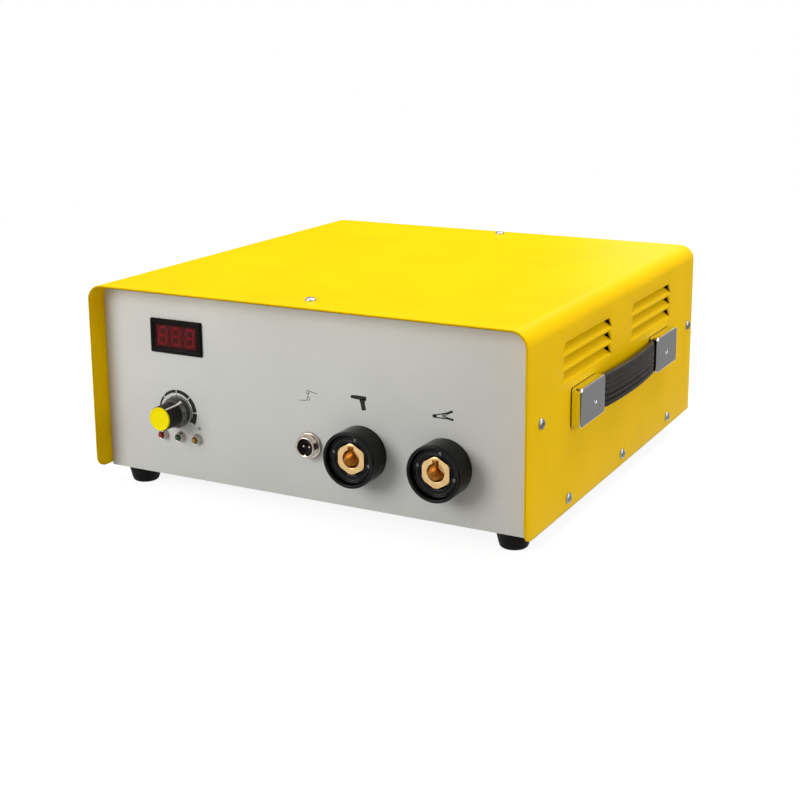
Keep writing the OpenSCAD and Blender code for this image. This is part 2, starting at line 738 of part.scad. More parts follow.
cup_neck_t = 1.1;
cup_neck_r = brass_r + cup_neck_t;
cup_neck_l = 6;
cup_step_w = 1;
cup_step_h = 0.5;
cup_lip = 0.6;
brass_gap = 0.1;
brass_flat_share = 0.906;
hex_half = 30;
brass_edge = 0.5;
key_reach_share = 1.36;
brass_body_l = 18;
stud_r = 5;
stud_reach = 58;
rivet_r = 0.9;
rivet_head_r = 1.4;
rivet_head_h = 0.6;
rivet_web = 0.3;
rivet_turn = [-14, 76, 166];
cup_washer_r = 18;
cup_washer_h = 2.5;
brass_nut_r = 15;
brass_nut_h = 6;
stud_nut_r = 9;
stud_nut_h = 8;
rivet_ring_r = cup_neck_r + 2 * fit_gap + rivet_web + rivet_r;

module at_rivets() {
  for (a = rivet_turn) rotate([0, 0, a]) translate([rivet_ring_r, 0, 0]) children();
}
cup_floor = cup_out - cup_recess;
module socket_cup(x) on_front(x, socket_z) difference() {
  union() {
    rotate_extrude() polygon([[0, 0], [cup_r, 0], [cup_rim_r, cup_out - cup_lip],
      [cup_rim_r - cup_lip, cup_out], [cup_rim_r - cup_rim_t, cup_out],
      [cup_rim_r - cup_rim_t, cup_floor], [brass_r + cup_step_w, cup_floor],
      [brass_r + cup_step_w, cup_floor + cup_step_h], [0, cup_floor + cup_step_h]]);
    translate([0, 0, -cup_neck_l]) cylinder(r = cup_neck_r, h = cup_neck_l);
  }
  translate([0, 0, -cup_neck_l - cut])
    cylinder(r = brass_r + brass_gap, h = cup_neck_l + cup_out + 2 * cut);
  at_rivets() translate([0, 0, -cut]) cylinder(r = rivet_r + screw_gap, h = cup_out);
}
// Six-sided insert with rounded corners, the plug's bore and key slot, and a stud behind
module socket_brass(x) on_front(x, socket_z) difference() {
  flat = brass_r * brass_flat_share;
  union() {
    intersection() {
      translate([0, 0, -brass_body_l]) union() {
        cylinder(r = brass_r, h = brass_body_l + brass_out - brass_edge);
        translate([0, 0, brass_body_l + brass_out - brass_edge])
          cylinder(r1 = brass_r, r2 = brass_r - brass_edge, h = brass_edge);
      }
      translate([0, 0, -brass_body_l]) rotate([0, 0, hex_half])
        cylinder(r = flat / cos(hex_half), h = brass_body_l + brass_out, $fn = 6);
    }
    translate([0, 0, -stud_reach - stud_nut_h - bar_sheet_t])
      cylinder(r = stud_r, h = stud_reach + stud_nut_h + bar_sheet_t);
  }
  translate([0, 0, brass_out - plug_l]) cylinder(r = plug_r, h = plug_l + cut);
  translate([-key_w / 2, 0, brass_out - key_l]) cube([key_w, plug_r * key_reach_share, key_l + cut]);
}
// Insulating washer and brass nut behind the panel, and the nut that holds the bus bar
module socket_nuts(x) on_front(x, socket_z) {
  translate([0, 0, -cup_neck_l - cup_washer_h]) difference() {
    cylinder(r = cup_washer_r, h = cup_washer_h + cup_neck_l - panel_thick);
    translate([0, 0, cup_washer_h]) cylinder(r = cup_neck_r + fit_gap, h = cup_neck_l + cut);
    translate([0, 0, -cut]) cylinder(r = brass_r + brass_gap, h = cup_washer_h + 2 * cut);
  }
  translate([0, 0, -cup_neck_l - cup_washer_h - brass_nut_h])
    hex_nut(brass_nut_r, brass_r + brass_gap, brass_nut_h);
  translate([0, 0, -stud_reach - bar_sheet_t - stud_nut_h])
    hex_nut(stud_nut_r, stud_r + screw_gap, stud_nut_h);
}
module gun_socket_cup() color(black_plastic) in_case() socket_cup(gun_x);
module gun_socket_brass() color(brass) in_case() socket_brass(gun_x);
module gun_socket_nuts() color(zinc) in_case() socket_nuts(gun_x);
module clamp_socket_cup() color(black_plastic) in_case() socket_cup(clamp_x);
module clamp_socket_brass() color(brass) in_case() socket_brass(clamp_x);
module clamp_socket_nuts() color(zinc) in_case() socket_nuts(clamp_x);
module socket_rivets() color(zinc) in_case()
  for (x = [gun_x, clamp_x]) on_front(x, socket_z) at_rivets() {
    translate([0, 0, -panel_thick]) cylinder(r = rivet_r, h = cup_floor + panel_thick);
    translate([0, 0, cup_floor]) cylinder(r = rivet_head_r, h = rivet_head_h);
  }

// Handle

cap_corner_r = 2.5;
cap_wall = 1.4;
cap_screw_r = 2.5;
cap_screw_head_r = 4.2;
cap_screw_head_h = 1.8;
cap_screw_drop = 1.2;
cap_screw_inside = 9;
cap_nut_r = 5.2;
cap_nut_h = 4;
strap_gap = 0.3;
cap_post_r = 6;
cap_boss_r = 3.8;
mouth_gap = 0.8;
groove_w_share = 0.3;
groove_depth_share = 0.28;
tongue_t_share = 0.4;
tongue_w_share = 0.86;
tongue_lift = 0.4;

tongue_w = strap_w * tongue_w_share;
tongue_z = strap_end_gap + tongue_lift;

// A cap from its outer end at y = 0 inwards, standing off the cover along local z
module handle_cap() {
  profile = [[0, 0], [cap_l, 0], [cap_l, cap_out - cap_slope_fall],
    [cap_l - cap_slope_l, cap_out], [0, cap_out]];
  difference() {
    intersection() {
      translate([0, cap_w / 2, 0]) rotate([90, 0, 0]) linear_extrude(cap_w) polygon(profile);
      translate([cap_l / 2, 0, 0]) linear_extrude(cap_out) round_rect(cap_l, cap_w, cap_corner_r);
    }
    difference() {
      translate([cap_wall, cap_wall - cap_w / 2, -cut])
        cube([cap_l, cap_w - 2 * cap_wall, cut + cap_out - cap_slope_fall - cap_wall]);
      translate([cap_screw_y, 0, tongue_z + strap_t * tongue_t_share + strap_gap])
        cylinder(r = cap_post_r, h = cap_out);
      translate([cap_screw_y, 0, 0]) cylinder(r = cap_boss_r, h = cap_out);
    }
    translate([cap_screw_y, 0, -cut]) cylinder(r = cap_screw_r + screw_gap, h = cap_out);
    translate([cap_screw_y, 0, cap_out - cap_screw_head_h - cap_screw_drop])
      cylinder(r = cap_screw_head_r + screw_gap, h = cap_out);
  }
}
cap_seat = cap_out - cap_screw_head_h - cap_screw_drop;
module handle_cap_front() color(chrome) in_case() on_right(handle_y - handle_l / 2, handle_z) handle_cap();
module handle_cap_rear() color(chrome) in_case() on_right(handle_y + handle_l / 2, handle_z)
  rotate([0, 0, 180]) handle_cap();

// The ribbed strap is an arc of slight bow between two flat tongues that lie in the caps
strap_l = handle_l - 2 * (cap_l + mouth_gap);
bow_r = (strap_l * strap_l / 4 + strap_bow * strap_bow) / (2 * strap_bow);
bow_angle = 2 * asin(strap_l / 2 / bow_r);
strap_slot_l = 8;
tongue_in = cap_l + mouth_gap - cap_wall - strap_gap;

module strap_section() {
  pitch = strap_w / strap_ribs;
  difference() {
    translate([0, -strap_w / 2]) square([strap_t, strap_w]);
    for (i = [1 : strap_ribs - 1])
      translate([strap_t, i * pitch - strap_w / 2])
        polygon([[cut, -pitch * groove_w_share], [0, -pitch * groove_w_share / 2],
          [-strap_t * groove_depth_share, 0], [0, pitch * groove_w_share / 2],
          [cut, pitch * groove_w_share]]);
  }
}
module handle_strap() color(black_rubber) in_case() on_right(handle_y, handle_z) {
  translate([0, 0, strap_end_gap + strap_bow - bow_r])
    rotate([90, 0, 0]) rotate([0, 0, 90 - bow_angle / 2])
      rotate_extrude(angle = bow_angle, $fn = 96) translate([bow_r, 0]) strap_section();
  for (s = [-1, 1]) difference() {
    translate([s > 0 ? strap_l / 2 - cut : -strap_l / 2 - tongue_in, -tongue_w / 2, tongue_z])
      cube([tongue_in + cut, tongue_w, strap_t * tongue_t_share]);
    translate([s * (handle_l / 2 - cap_screw_y), 0, 0])
      linear_extrude(cap_out)
        round_rect(2 * (cap_boss_r + strap_gap) + strap_slot_l, 2 * (cap_boss_r + strap_gap),
          cap_boss_r);
  }
}
module handle_screws() color(zinc) in_case() at_cap_screws() translate([0, 0, cap_seat])
  pan_screw(cap_screw_head_r, cap_screw_head_h, cap_screw_r, cap_seat + cap_screw_inside);
module handle_nuts() color(zinc) in_case() at_cap_screws()
  translate([0, 0, -sheet_t - cap_nut_h]) hex_nut(cap_nut_r, cap_screw_r + screw_gap, cap_nut_h);

// Mains switch, inlet and earth on the rear panel

switch_frame_w = 25;
switch_frame_h = 31;
switch_frame_out = 2;
switch_body_w = 22;
switch_body_h = 28;
switch_wall = 2;
switch_depth = 22;
switch_gap = 0.4;
rocker_r = switch_body_h / 2 - switch_wall - switch_gap;
rocker_w = switch_body_w - 2 * (switch_wall + switch_gap);
rocker_pin_r = 1.5;
rocker_pin_gap = 0.05;
rocker_pivot = -1;
rocker_low = 6;
// Heights of the rocker's middle and ends over its pivot, as shares of its radius
rocker_mid_share = 0.3;
rocker_end_share = 0.48;

module switch_frame() color(black_plastic) in_case() on_rear(switch_x, switch_z) difference() {
  union() {
    block(switch_frame_w, switch_frame_h, switch_frame_out);
    translate([0, 0, -switch_depth]) block(switch_body_w, switch_body_h, switch_depth);
  }
  translate([0, 0, switch_wall - switch_depth])
    block(switch_body_w - 2 * switch_wall, switch_body_h - 2 * switch_wall,
      switch_depth + switch_frame_out);
  translate([-switch_body_w / 2, 0, rocker_pivot]) rotate([0, 90, 0])
    cylinder(r = rocker_pin_r + rocker_pin_gap, h = switch_body_w);
}
module switch_rocker() color([0.65, 0.06, 0.05]) in_case() on_rear(switch_x, switch_z)
  translate([0, 0, rocker_pivot]) rotate([switch_turn / 2, 0, 0]) {
    intersection() {
      translate([-rocker_w / 2, 0, 0]) rotate([0, 90, 0]) cylinder(r = rocker_r, h = rocker_w);
      translate([-rocker_w / 2 - cut, 0, 0]) rotate([90, 0, 90]) linear_extrude(rocker_w + 2 * cut)
        polygon([[-rocker_r - cut, -rocker_low], [rocker_r + cut, -rocker_low],
          [rocker_r + cut, rocker_r * rocker_end_share], [0, rocker_r * rocker_mid_share],
          [-rocker_r - cut, rocker_r * rocker_end_share]]);
    }
    pin_l = rocker_w + 2 * switch_gap + switch_wall;
    translate([-pin_l / 2, 0, 0]) rotate([0, 90, 0]) cylinder(r = rocker_pin_r, h = pin_l);
  }

inlet_flange_w = 50;
inlet_flange_h = 23;
inlet_flange_t = 3;
inlet_body_w = 28;
inlet_body_h = 20.5;
inlet_depth = 20;
inlet_well_w = 24.5;
inlet_well_h = 17;
inlet_well_d = 17;
inlet_corner_r = 2;
inlet_screw_x = 20;
inlet_screw_r = 1.5;
inlet_screw_head_r = 2.8;
inlet_screw_head_h = 1.6;
inlet_screw_l = 7;
blade_w = 2;
blade_h = 4;
blade_x = 7;
blade_z = 2;
blade_l = 14;
blade_tail = 8;

module at_inlet_screws() { for (s = [-1, 1]) translate([s * inlet_screw_x, 0, 0]) children(); }
module mains_inlet() color(black_plastic) in_case() on_rear(inlet_x, inlet_z) difference() {
  union() {
    linear_extrude(inlet_flange_t) round_rect(inlet_flange_w, inlet_flange_h, inlet_corner_r);
    translate([0, 0, -inlet_depth]) block(inlet_body_w, inlet_body_h, inlet_depth);
  }
  translate([0, 0, inlet_flange_t - inlet_well_d])
    linear_extrude(inlet_well_d + cut) round_rect(inlet_well_w, inlet_well_h, inlet_corner_r);
  at_inlet_screws() translate([0, 0, -cut])
    cylinder(r = inlet_screw_r + screw_gap, h = inlet_flange_t + 2 * cut);
  at_blades() translate([0, 0, -inlet_depth - cut]) block(blade_w, blade_h, inlet_depth);
}
module at_blades() {
  for (p = [[-blade_x, -blade_z], [blade_x, -blade_z], [0, blade_z]])
    translate([p[0], p[1], 0]) children();
}
module mains_blades() color([0.8, 0.78, 0.7]) in_case() on_rear(inlet_x, inlet_z) at_blades()
  translate([0, 0, -inlet_depth - blade_tail])
    block(blade_w, blade_h, inlet_depth + blade_tail + inlet_flange_t - inlet_well_d + blade_l);
module inlet_screws() color(zinc) in_case() on_rear(inlet_x, inlet_z) at_inlet_screws()
  translate([0, 0, inlet_flange_t])
    pan_screw(inlet_screw_head_r, inlet_screw_head_h, inlet_screw_r, inlet_screw_l);

earth_out = 16;
earth_collar = 0.4;
earth_collar_r = earth_r + earth_collar;
earth_in = 6;
earth_head_r = 5.6;
earth_nut_r = 5.7;
earth_nut_h = 5;
earth_washer_r = 6.2;
earth_washer_h = 1.2;
module earth_stud() color(zinc) in_case() on_rear(earth_x, inlet_z) {
  translate([0, 0, -panel_thick])
    cylinder(r = earth_collar_r, h = panel_thick + earth_washer_h + earth_nut_h);
  cylinder(r = earth_r, h = earth_out);
  translate([0, 0, -panel_thick - earth_in]) cylinder(r = earth_head_r, h = earth_in, $fn = 6);
}
module earth_nut() color(zinc) in_case() on_rear(earth_x, inlet_z) {
  difference() {
    cylinder(r = earth_washer_r, h = earth_washer_h);
    translate([0, 0, -cut]) cylinder(r = earth_collar_r + screw_gap, h = earth_washer_h + 2 * cut);
  }
  translate([0, 0, earth_washer_h]) hex_nut(earth_nut_r, earth_collar_r + screw_gap, earth_nut_h);
}

// Fan

duct_wall = 2;
duct_r = fan_w / 2 - duct_wall;
fan_hole_share = 0.446;
fan_screw_r = 2;
fan_screw_head_r = 3.6;
fan_screw_head_h = 2;
fan_screw_rise = 3;
fan_plate_t = 3.5;
stator_r = 15;
stator_t = 3;
strut_w = 5;
spindle_r = 1.5;
spindle_gap = 0.05;
spindle_l = 14;
rotor_gap = 0.5;
rotor_tip_gap = 1.5;
hub_r = 16;
hub_h = 17;
blade_count = 7;
fan_blade_t = 1.4;
fan_blade_pitch = 38;
fan_blade_chord = 19;
guard_t = 1.6;
guard_ring_w = 2.4;
guard_rings = 4;
guard_eye_r = 4.4;

module at_fan_screws() {
  for (x = [-1, 1], y = [-1, 1])
    translate([x * fan_w * fan_hole_share, y * fan_w * fan_hole_share, 0]) children();
}
module fan_frame() color(black_plastic) in_case() on_rear(fan_x, fan_z)
  translate([0, 0, -panel_thick - fan_d]) {
    difference() {
      union() {
        for (z = [0, fan_d - fan_plate_t]) translate([0, 0, z]) block(fan_w, fan_w, fan_plate_t);
        cylinder(r = duct_r + duct_wall, h = fan_d);
      }
      translate([0, 0, -cut]) cylinder(r = duct_r, h = fan_d + 2 * cut, $fn = 96);
      at_fan_screws() translate([0, 0, -cut]) cylinder(r = fan_screw_r + screw_gap, h = fan_d + 2 * cut);
    }
    cylinder(r = stator_r, h = stator_t);
    difference() {
      for (a = [0, 90]) rotate([0, 0, a]) block(2 * duct_r + duct_wall, strut_w, stator_t);
      translate([0, 0, -cut]) cylinder(r = stator_r - cut, h = stator_t + 2 * cut);
    }
    translate([0, 0, stator_t - cut]) cylinder(r = spindle_r, h = spindle_l + cut);
  }
module fan_rotor() color([0.1, 0.1, 0.1]) in_case() on_rear(fan_x, fan_z)
  translate([0, 0, stator_t + rotor_gap - panel_thick - fan_d]) difference() {
    union() {
      cylinder(r = hub_r, h = hub_h);
      intersection() {
        for (i = [0 : blade_count - 1])
          rotate([0, 0, i * 360 / blade_count])
            translate([0, 0, hub_h / 2]) rotate([fan_blade_pitch, 0, 0])
              translate([hub_r / 2, -fan_blade_chord / 2, -fan_blade_t / 2])
                cube([duct_r, fan_blade_chord, fan_blade_t]);
        cylinder(r = duct_r - rotor_tip_gap, h = hub_h, $fn = 96);
      }
    }
    translate([0, 0, -cut]) cylinder(r = spindle_r + spindle_gap, h = spindle_l + cut);
  }
// Pressed guard: concentric rings and two crossed arms with an eye at each screw
module fan_guard() color(chrome) in_case() on_rear(fan_x, fan_z) linear_extrude(guard_t) difference() {
  union() {
    for (i = [1 : guard_rings]) difference() {
      ring_r = i * duct_r / guard_rings;
      circle(ring_r);
      circle(ring_r - guard_ring_w);
    }
    for (a = [45, 135]) rotate([0, 0, a])
      square([2 * fan_w * fan_hole_share * sqrt(2), guard_ring_w], center = true);
    at_fan_screws() circle(guard_eye_r);
  }
  at_fan_screws() circle(fan_screw_r + screw_gap);
}
module fan_screws() color(zinc) in_case() on_rear(fan_x, fan_z) at_fan_screws()
  translate([0, 0, guard_t])
    pan_screw(fan_screw_head_r, fan_screw_head_h, fan_screw_r,
      guard_t + panel_thick + fan_d + fan_screw_rise);

// Layout inside: board and transformer from the left flange, capacitor bank from the right flange,
// heat sink beside the board

panel_thick = sheet_t;
flange_in = inner_w / 2 - sheet_t;
board_clear = 6.8;
board_setback = 51;
bracket_clear = 3.8;
bracket_ear = 10;
transformer_setback = 80;
sink_clear = 11;
sink_setback = 74;
bank_clear = 6.3;
bank_setback = 67.5;
bank_gap = 14.5;
fan_clear = 24;
tray_edge = 5;
can_gap = 4;
bridge_clear = 12;
bridge_gap = 15;
bridge_w = 28;

board_x = board_clear + board_w / 2 - flange_in;
board_y = front_y + board_setback + board_l / 2;
transformer_x = bracket_clear + bracket_ear + core_w / 2 - flange_in;
transformer_y = rear_y - transformer_setback;
sink_x = board_x + (board_w + sink_w) / 2 + sink_clear;
sink_y = front_y + sink_setback;
bank_left = sink_x + sink_w / 2 + bank_gap;
bank_right = flange_in - bank_clear;
bank_front = front_y + bank_setback;
bank_rear = rear_y - panel_thick - fan_d - fan_clear;
bridge_x = bank_left - bridge_clear - bridge_w / 2;
bridge_y = sink_y + sink_l + bridge_gap + bridge_w / 2;

// The cans fill the bank's width or its length, whichever is tighter
bank_room = [bank_right - bank_left - 2 * tray_edge, bank_rear - bank_front - 2 * tray_edge];
can_r = min((bank_room[0] - (can_columns - 1) * can_gap) / (2 * can_columns),
  (bank_room[1] - (can_rows - 1) * can_gap) / (2 * can_rows));
can_pitch = 2 * can_r + can_gap;
bank_w = (can_columns - 1) * can_pitch;
bank_l = (can_rows - 1) * can_pitch;
bank_x = bank_right - tray_edge - can_r - bank_w;
bank_y = bank_front + tray_edge + can_r;

// Charging transformer

core_limb = core_w / 6;
coil_gap = 0.3;
coil_reach = 15;
coil_corner_r = 5;
bracket_t = 3;

module at_transformer() { translate([transformer_x, transformer_y, floor_z]) children(); }
module transformer_bracket() color(steel) in_case() at_transformer()
  block(core_w + 2 * bracket_ear, core_stack, bracket_t);
module transformer_core() color(steel) in_case() at_transformer() translate([0, 0, bracket_t])
  difference() {
    block(core_w, core_stack, core_h);
    for (s = [-1, 1])
      translate([s * 1.5 * core_limb, 0, core_limb])
        block(core_limb, core_stack + 2 * cut, core_h - 2 * core_limb);
  }
module transformer_coil() color([0.55, 0.3, 0.12]) in_case() at_transformer()
  translate([0, 0, bracket_t + core_limb + coil_gap]) difference() {
    height = core_h - 2 * (core_limb + coil_gap);
    linear_extrude(height)
      round_rect(4 * core_limb - 2 * coil_gap, core_stack + 2 * coil_reach, coil_corner_r);
    translate([0, 0, -cut])
      block(2 * core_limb + 2 * coil_gap, core_stack + 2 * coil_gap, height + 2 * cut);
  }

// Places of the thyristor and its heat sink

sink_plate_t = 8;
fin_t = 2.5;
fin_count = 8;
thyristor_l = 92;
thyristor_w = 34;
thyristor_h = 24;
thyristor_post_h = 3;
thyristor_post_share = 0.33;
thyristor_y = sink_y + sink_l / 2;
cathode_y = thyristor_y - thyristor_l * thyristor_post_share;
anode_y = thyristor_y + thyristor_l * thyristor_post_share;
sink_top = floor_z + sink_h;
thyristor_top = sink_top + thyristor_h + thyristor_post_h;

// Capacitor bank and bus bars

tray_h = 12;
tray_floor = 3;
tray_gap = 0.3;
post_r_share = 0.235;
post_r = can_r * post_r_share;
post_h = 6;
post_x_share = 0.43;
post_x = can_r * post_x_share;
bar_sheet_t = 3;
bar_w = 14;
can_bar_share = 0.55;
can_bar_w = can_r * can_bar_share;
terminal_r = 2.5;
terminal_head_r = 4.2;
terminal_head_h = 2.6;
terminal_l = 7;

can_z = floor_z + tray_floor;
post_top = can_z + can_h + post_h;

module at_cans() {
  for (i = [0 : can_columns - 1], j = [0 : can_rows - 1])
    translate([bank_x + i * can_pitch, bank_y + j * can_pitch, 0]) children();
}
module at_posts(sides) { at_cans() for (s = sides) translate([s * post_x, 0, 0]) children(); }
module capacitor_tray() color(black_plastic) in_case() difference() {
  translate([bank_x - can_r - tray_edge, bank_y - can_r - tray_edge, floor_z])
    cube([bank_w + 2 * (can_r + tray_edge), bank_l + 2 * (can_r + tray_edge), tray_h]);
  at_cans() translate([0, 0, can_z]) cylinder(r = can_r + tray_gap, h = tray_h + cut);
}
module capacitor_cans() color([0.1, 0.16, 0.4]) in_case() {
  difference() {
    union() {
      at_cans() translate([0, 0, can_z]) cylinder(r = can_r, h = can_h);
      at_posts([-1, 1]) translate([0, 0, can_z + can_h - cut]) cylinder(r = post_r, h = post_h + cut);
    }
    at_posts([-1, 1]) translate([0, 0, post_top - terminal_l - cut])
      cylinder(r = terminal_r, h = terminal_l + 2 * cut);
  }
}
bar_top = post_top + bar_sheet_t;
module terminal_screws() color(zinc) in_case() {
  at_posts([-1, 1]) translate([0, 0, bar_top])
    pan_screw(terminal_head_r, terminal_head_h, terminal_r, terminal_l);
  at_thyristor_posts() translate([0, 0, thyristor_top + bar_sheet_t])
    pan_screw(terminal_head_r, terminal_head_h, terminal_r, terminal_l);
}
module bar(x0, x1, y0, y1, z0, z1) { translate([x0, y0, z0]) cube([x1 - x0, y1 - y0, z1 - z0]); }
module terminal_holes(sides) {
  at_posts(sides) translate([0, 0, post_top - cut])
    cylinder(r = terminal_r + screw_gap, h = bar_sheet_t + 2 * cut);
}
rear_bar_y = bank_y + bank_l + can_r;
front_bar_y = front_y + stud_reach;
gun_bar_lift = 6;
gun_bar_z = thyristor_top + gun_bar_lift;

module bus_bar_positive() color(copper) in_case() difference() {
  union() {
    for (i = [0 : can_columns - 1]) {
      x = bank_x + i * can_pitch - post_x;
      bar(x - can_bar_w / 2, x + can_bar_w / 2, bank_y - can_bar_w / 2, rear_bar_y + bar_w,
        post_top, bar_top);
    }
    bar(sink_x - bar_w / 2, bank_x + bank_w, rear_bar_y, rear_bar_y + bar_w, post_top, bar_top);
    bar(sink_x - bar_w / 2, sink_x + bar_w / 2, anode_y + bar_w / 2, rear_bar_y + bar_w, post_top, bar_top);
    bar(sink_x - bar_w / 2, sink_x + bar_w / 2, anode_y + bar_w / 2, anode_y + bar_w / 2 + bar_sheet_t,
      thyristor_top, bar_top);
    bar(sink_x - bar_w / 2, sink_x + bar_w / 2, anode_y - bar_w / 2, anode_y + bar_w / 2 + bar_sheet_t,
      thyristor_top, thyristor_top + bar_sheet_t);
  }
  terminal_holes([-1]);
  at_thyristor_posts() translate([0, 0, thyristor_top - cut])
    cylinder(r = terminal_r + screw_gap, h = bar_sheet_t + 2 * cut);
}
module bus_bar_negative() color(copper) in_case() difference() {
  union() {
    for (i = [0 : can_columns - 1]) {
      x = bank_x + i * can_pitch + post_x;
      bar(x - can_bar_w / 2, x + can_bar_w / 2, front_bar_y, bank_y + bank_l + can_bar_w / 2,
        post_top, bar_top);
    }
    bar(bank_x, bank_x + bank_w + post_x + can_bar_w / 2, front_bar_y, front_bar_y + bar_w,
      post_top, bar_top);
    bar(clamp_x - bar_w / 2, clamp_x + bar_w / 2, front_bar_y, front_bar_y + bar_sheet_t,
      cover_z + socket_z - bar_w / 2, bar_top);
  }
  terminal_holes([1]);
  on_front(clamp_x, socket_z) translate([0, 0, -stud_reach - bar_sheet_t - cut])
    cylinder(r = stud_r + screw_gap, h = bar_sheet_t + 2 * cut);
}
module bus_bar_gun() color(copper) in_case() difference() {
  union() {
    bar(gun_x - bar_w / 2, gun_x + bar_w / 2, front_bar_y, front_bar_y + bar_sheet_t,
      cover_z + socket_z - bar_w / 2, gun_bar_z + bar_w);
    bar(sink_x - bar_w / 2, gun_x + bar_w / 2, front_bar_y, front_bar_y + bar_sheet_t,
      gun_bar_z, gun_bar_z + bar_w);
    bar(sink_x - bar_w / 2, sink_x + bar_w / 2, front_bar_y, front_bar_y + bar_sheet_t,
      thyristor_top, gun_bar_z + bar_w);
    bar(sink_x - bar_w / 2, sink_x + bar_w / 2, front_bar_y, cathode_y + bar_w / 2,
      thyristor_top, thyristor_top + bar_sheet_t);
  }
  on_front(gun_x, socket_z) translate([0, 0, -stud_reach - bar_sheet_t - cut])
    cylinder(r = stud_r + screw_gap, h = bar_sheet_t + 2 * cut);
  at_thyristor_posts() translate([0, 0, thyristor_top - cut])
    cylinder(r = terminal_r + screw_gap, h = bar_sheet_t + 2 * cut);
}

// Thyristor on its heat sink, rectifier and control board

module at_thyristor_posts() { for (y = [cathode_y, anode_y]) translate([sink_x, y, 0]) children(); }
module heat_sink() color(aluminium) in_case() translate([sink_x, thyristor_y, floor_z]) {
  translate([0, 0, sink_h - sink_plate_t]) block(sink_w, sink_l, sink_plate_t);
  for (i = [0 : fin_count - 1])
    translate([(i / (fin_count - 1) - 0.5) * (sink_w - fin_t), 0, 0]) block(fin_t, sink_l, sink_h);
}
module thyristor() color([0.16, 0.16, 0.17]) in_case() difference() {
  union() {
    translate([sink_x, thyristor_y, sink_top]) block(thyristor_w, thyristor_l, thyristor_h);
    at_thyristor_posts() translate([0, 0, sink_top + thyristor_h - cut])
      cylinder(r = post_r, h = thyristor_post_h + cut);
  }
  at_thyristor_posts() translate([0, 0, thyristor_top - terminal_l - cut])
    cylinder(r = terminal_r, h = terminal_l + 2 * cut);
}
bridge_h = 10;
bridge_hole_r = 2.6;
tab_w = 6.3;
tab_t = 0.8;
tab_h = 9;
tab_x = 8;
module rectifier_bridge() color([0.2, 0.2, 0.22]) in_case() translate([bridge_x, bridge_y, floor_z]) {
  difference() {
    block(bridge_w, bridge_w, bridge_h);
    translate([0, 0, -cut]) cylinder(r = bridge_hole_r, h = bridge_h + 2 * cut);
  }
  for (x = [-1, 1], y = [-1, 1])
    translate([x * tab_x, y * tab_x, bridge_h - cut]) block(tab_w, tab_t, tab_h + cut);
}
board_t = 1.6;
standoff_h = 10;
standoff_r = 3;
standoff_inset = 5;
// Components on the board: place and footprint as shares of its width and length, then height
part_shares = [[-0.28, -0.3, 0.3, 0.16], [0.2, -0.3, 0.18, 0.14], [-0.2, 0, 0.34, 0.09],
  [0.24, 0.05, 0.14, 0.2], [-0.25, 0.3, 0.2, 0.12], [0.15, 0.33, 0.36, 0.08]];
part_heights = [16, 12, 4, 20, 10, 9];
module at_standoffs() {
  for (x = [-1, 1], y = [-1, 1])
    translate([board_x + x * (board_w / 2 - standoff_inset),
      board_y + y * (board_l / 2 - standoff_inset), floor_z]) children();
}
module board_standoffs() color(brass) in_case() at_standoffs() cylinder(r = standoff_r, h = standoff_h);
module control_board() color(board_green) in_case() translate([board_x, board_y, floor_z + standoff_h]) {
  block(board_w, board_l, board_t);
  for (i = [0 : len(part_shares) - 1]) {
    p = part_shares[i];
    translate([p[0] * board_w, p[1] * board_l, 0])
      block(p[2] * board_w, p[3] * board_l, board_t + part_heights[i]);
  }
}

cover();
base_tray();
front_panel();
rear_panel();
cover_screws();
feet();
foot_screws();
meter_housing();
meter_window();
meter_display();
dial_potentiometer();
dial_nut();
dial_shaft();
knob_body();
knob_cap();
led_holders();
led_red();
led_green();
led_amber();
trigger_socket_shell();
trigger_socket_insert();
trigger_socket_pins();
trigger_socket_nut();
gun_socket_cup();
gun_socket_brass();
gun_socket_nuts();
clamp_socket_cup();
clamp_socket_brass();
clamp_socket_nuts();
socket_rivets();
handle_strap();
handle_cap_front();
handle_cap_rear();
handle_screws();
handle_nuts();
switch_frame();
switch_rocker();
mains_inlet();
mains_blades();
inlet_screws();
earth_stud();
earth_nut();
fan_frame();
fan_rotor();
fan_guard();
fan_screws();
transformer_core();
transformer_coil();
transformer_bracket();
capacitor_tray();
capacitor_cans();
terminal_screws();
bus_bar_positive();
bus_bar_negative();
bus_bar_gun();
heat_sink();
thyristor();
rectifier_bridge();
control_board();
board_standoffs();
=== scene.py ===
import math
from itertools import product

import bmesh
import bpy
import numpy as np
from mathutils import Matrix


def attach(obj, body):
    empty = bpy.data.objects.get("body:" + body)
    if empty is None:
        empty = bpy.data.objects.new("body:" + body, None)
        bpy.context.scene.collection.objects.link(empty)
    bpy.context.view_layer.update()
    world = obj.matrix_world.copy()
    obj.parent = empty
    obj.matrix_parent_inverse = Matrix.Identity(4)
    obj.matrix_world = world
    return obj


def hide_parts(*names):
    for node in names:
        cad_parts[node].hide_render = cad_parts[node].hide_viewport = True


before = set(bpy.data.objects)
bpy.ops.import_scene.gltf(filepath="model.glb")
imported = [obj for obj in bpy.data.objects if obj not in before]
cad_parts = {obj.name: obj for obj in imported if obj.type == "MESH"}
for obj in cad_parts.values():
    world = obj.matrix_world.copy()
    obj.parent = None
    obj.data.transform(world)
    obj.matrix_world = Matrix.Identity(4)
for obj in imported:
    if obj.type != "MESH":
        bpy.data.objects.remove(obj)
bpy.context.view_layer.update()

scene = bpy.context.scene
MM = 0.001
SIGNS = tuple(product((-1, 1), repeat=2))

# Sizes of the case in millimetres, as the solids have them
CASE_W, CASE_D, CASE_H = 360.0, 365.0, 145.0
SHEET, BEND_R, WALL_CORNER_R = 1.5, 12.0, 9.0
FRONT_Y, REAR_Y, FOOT_H = 17.0, 348.0, 13.4
TO_FRAME = np.array([-4.05, -179.25, 15.4])


# Places on the case: local x sideways, local y up, local z out of that side

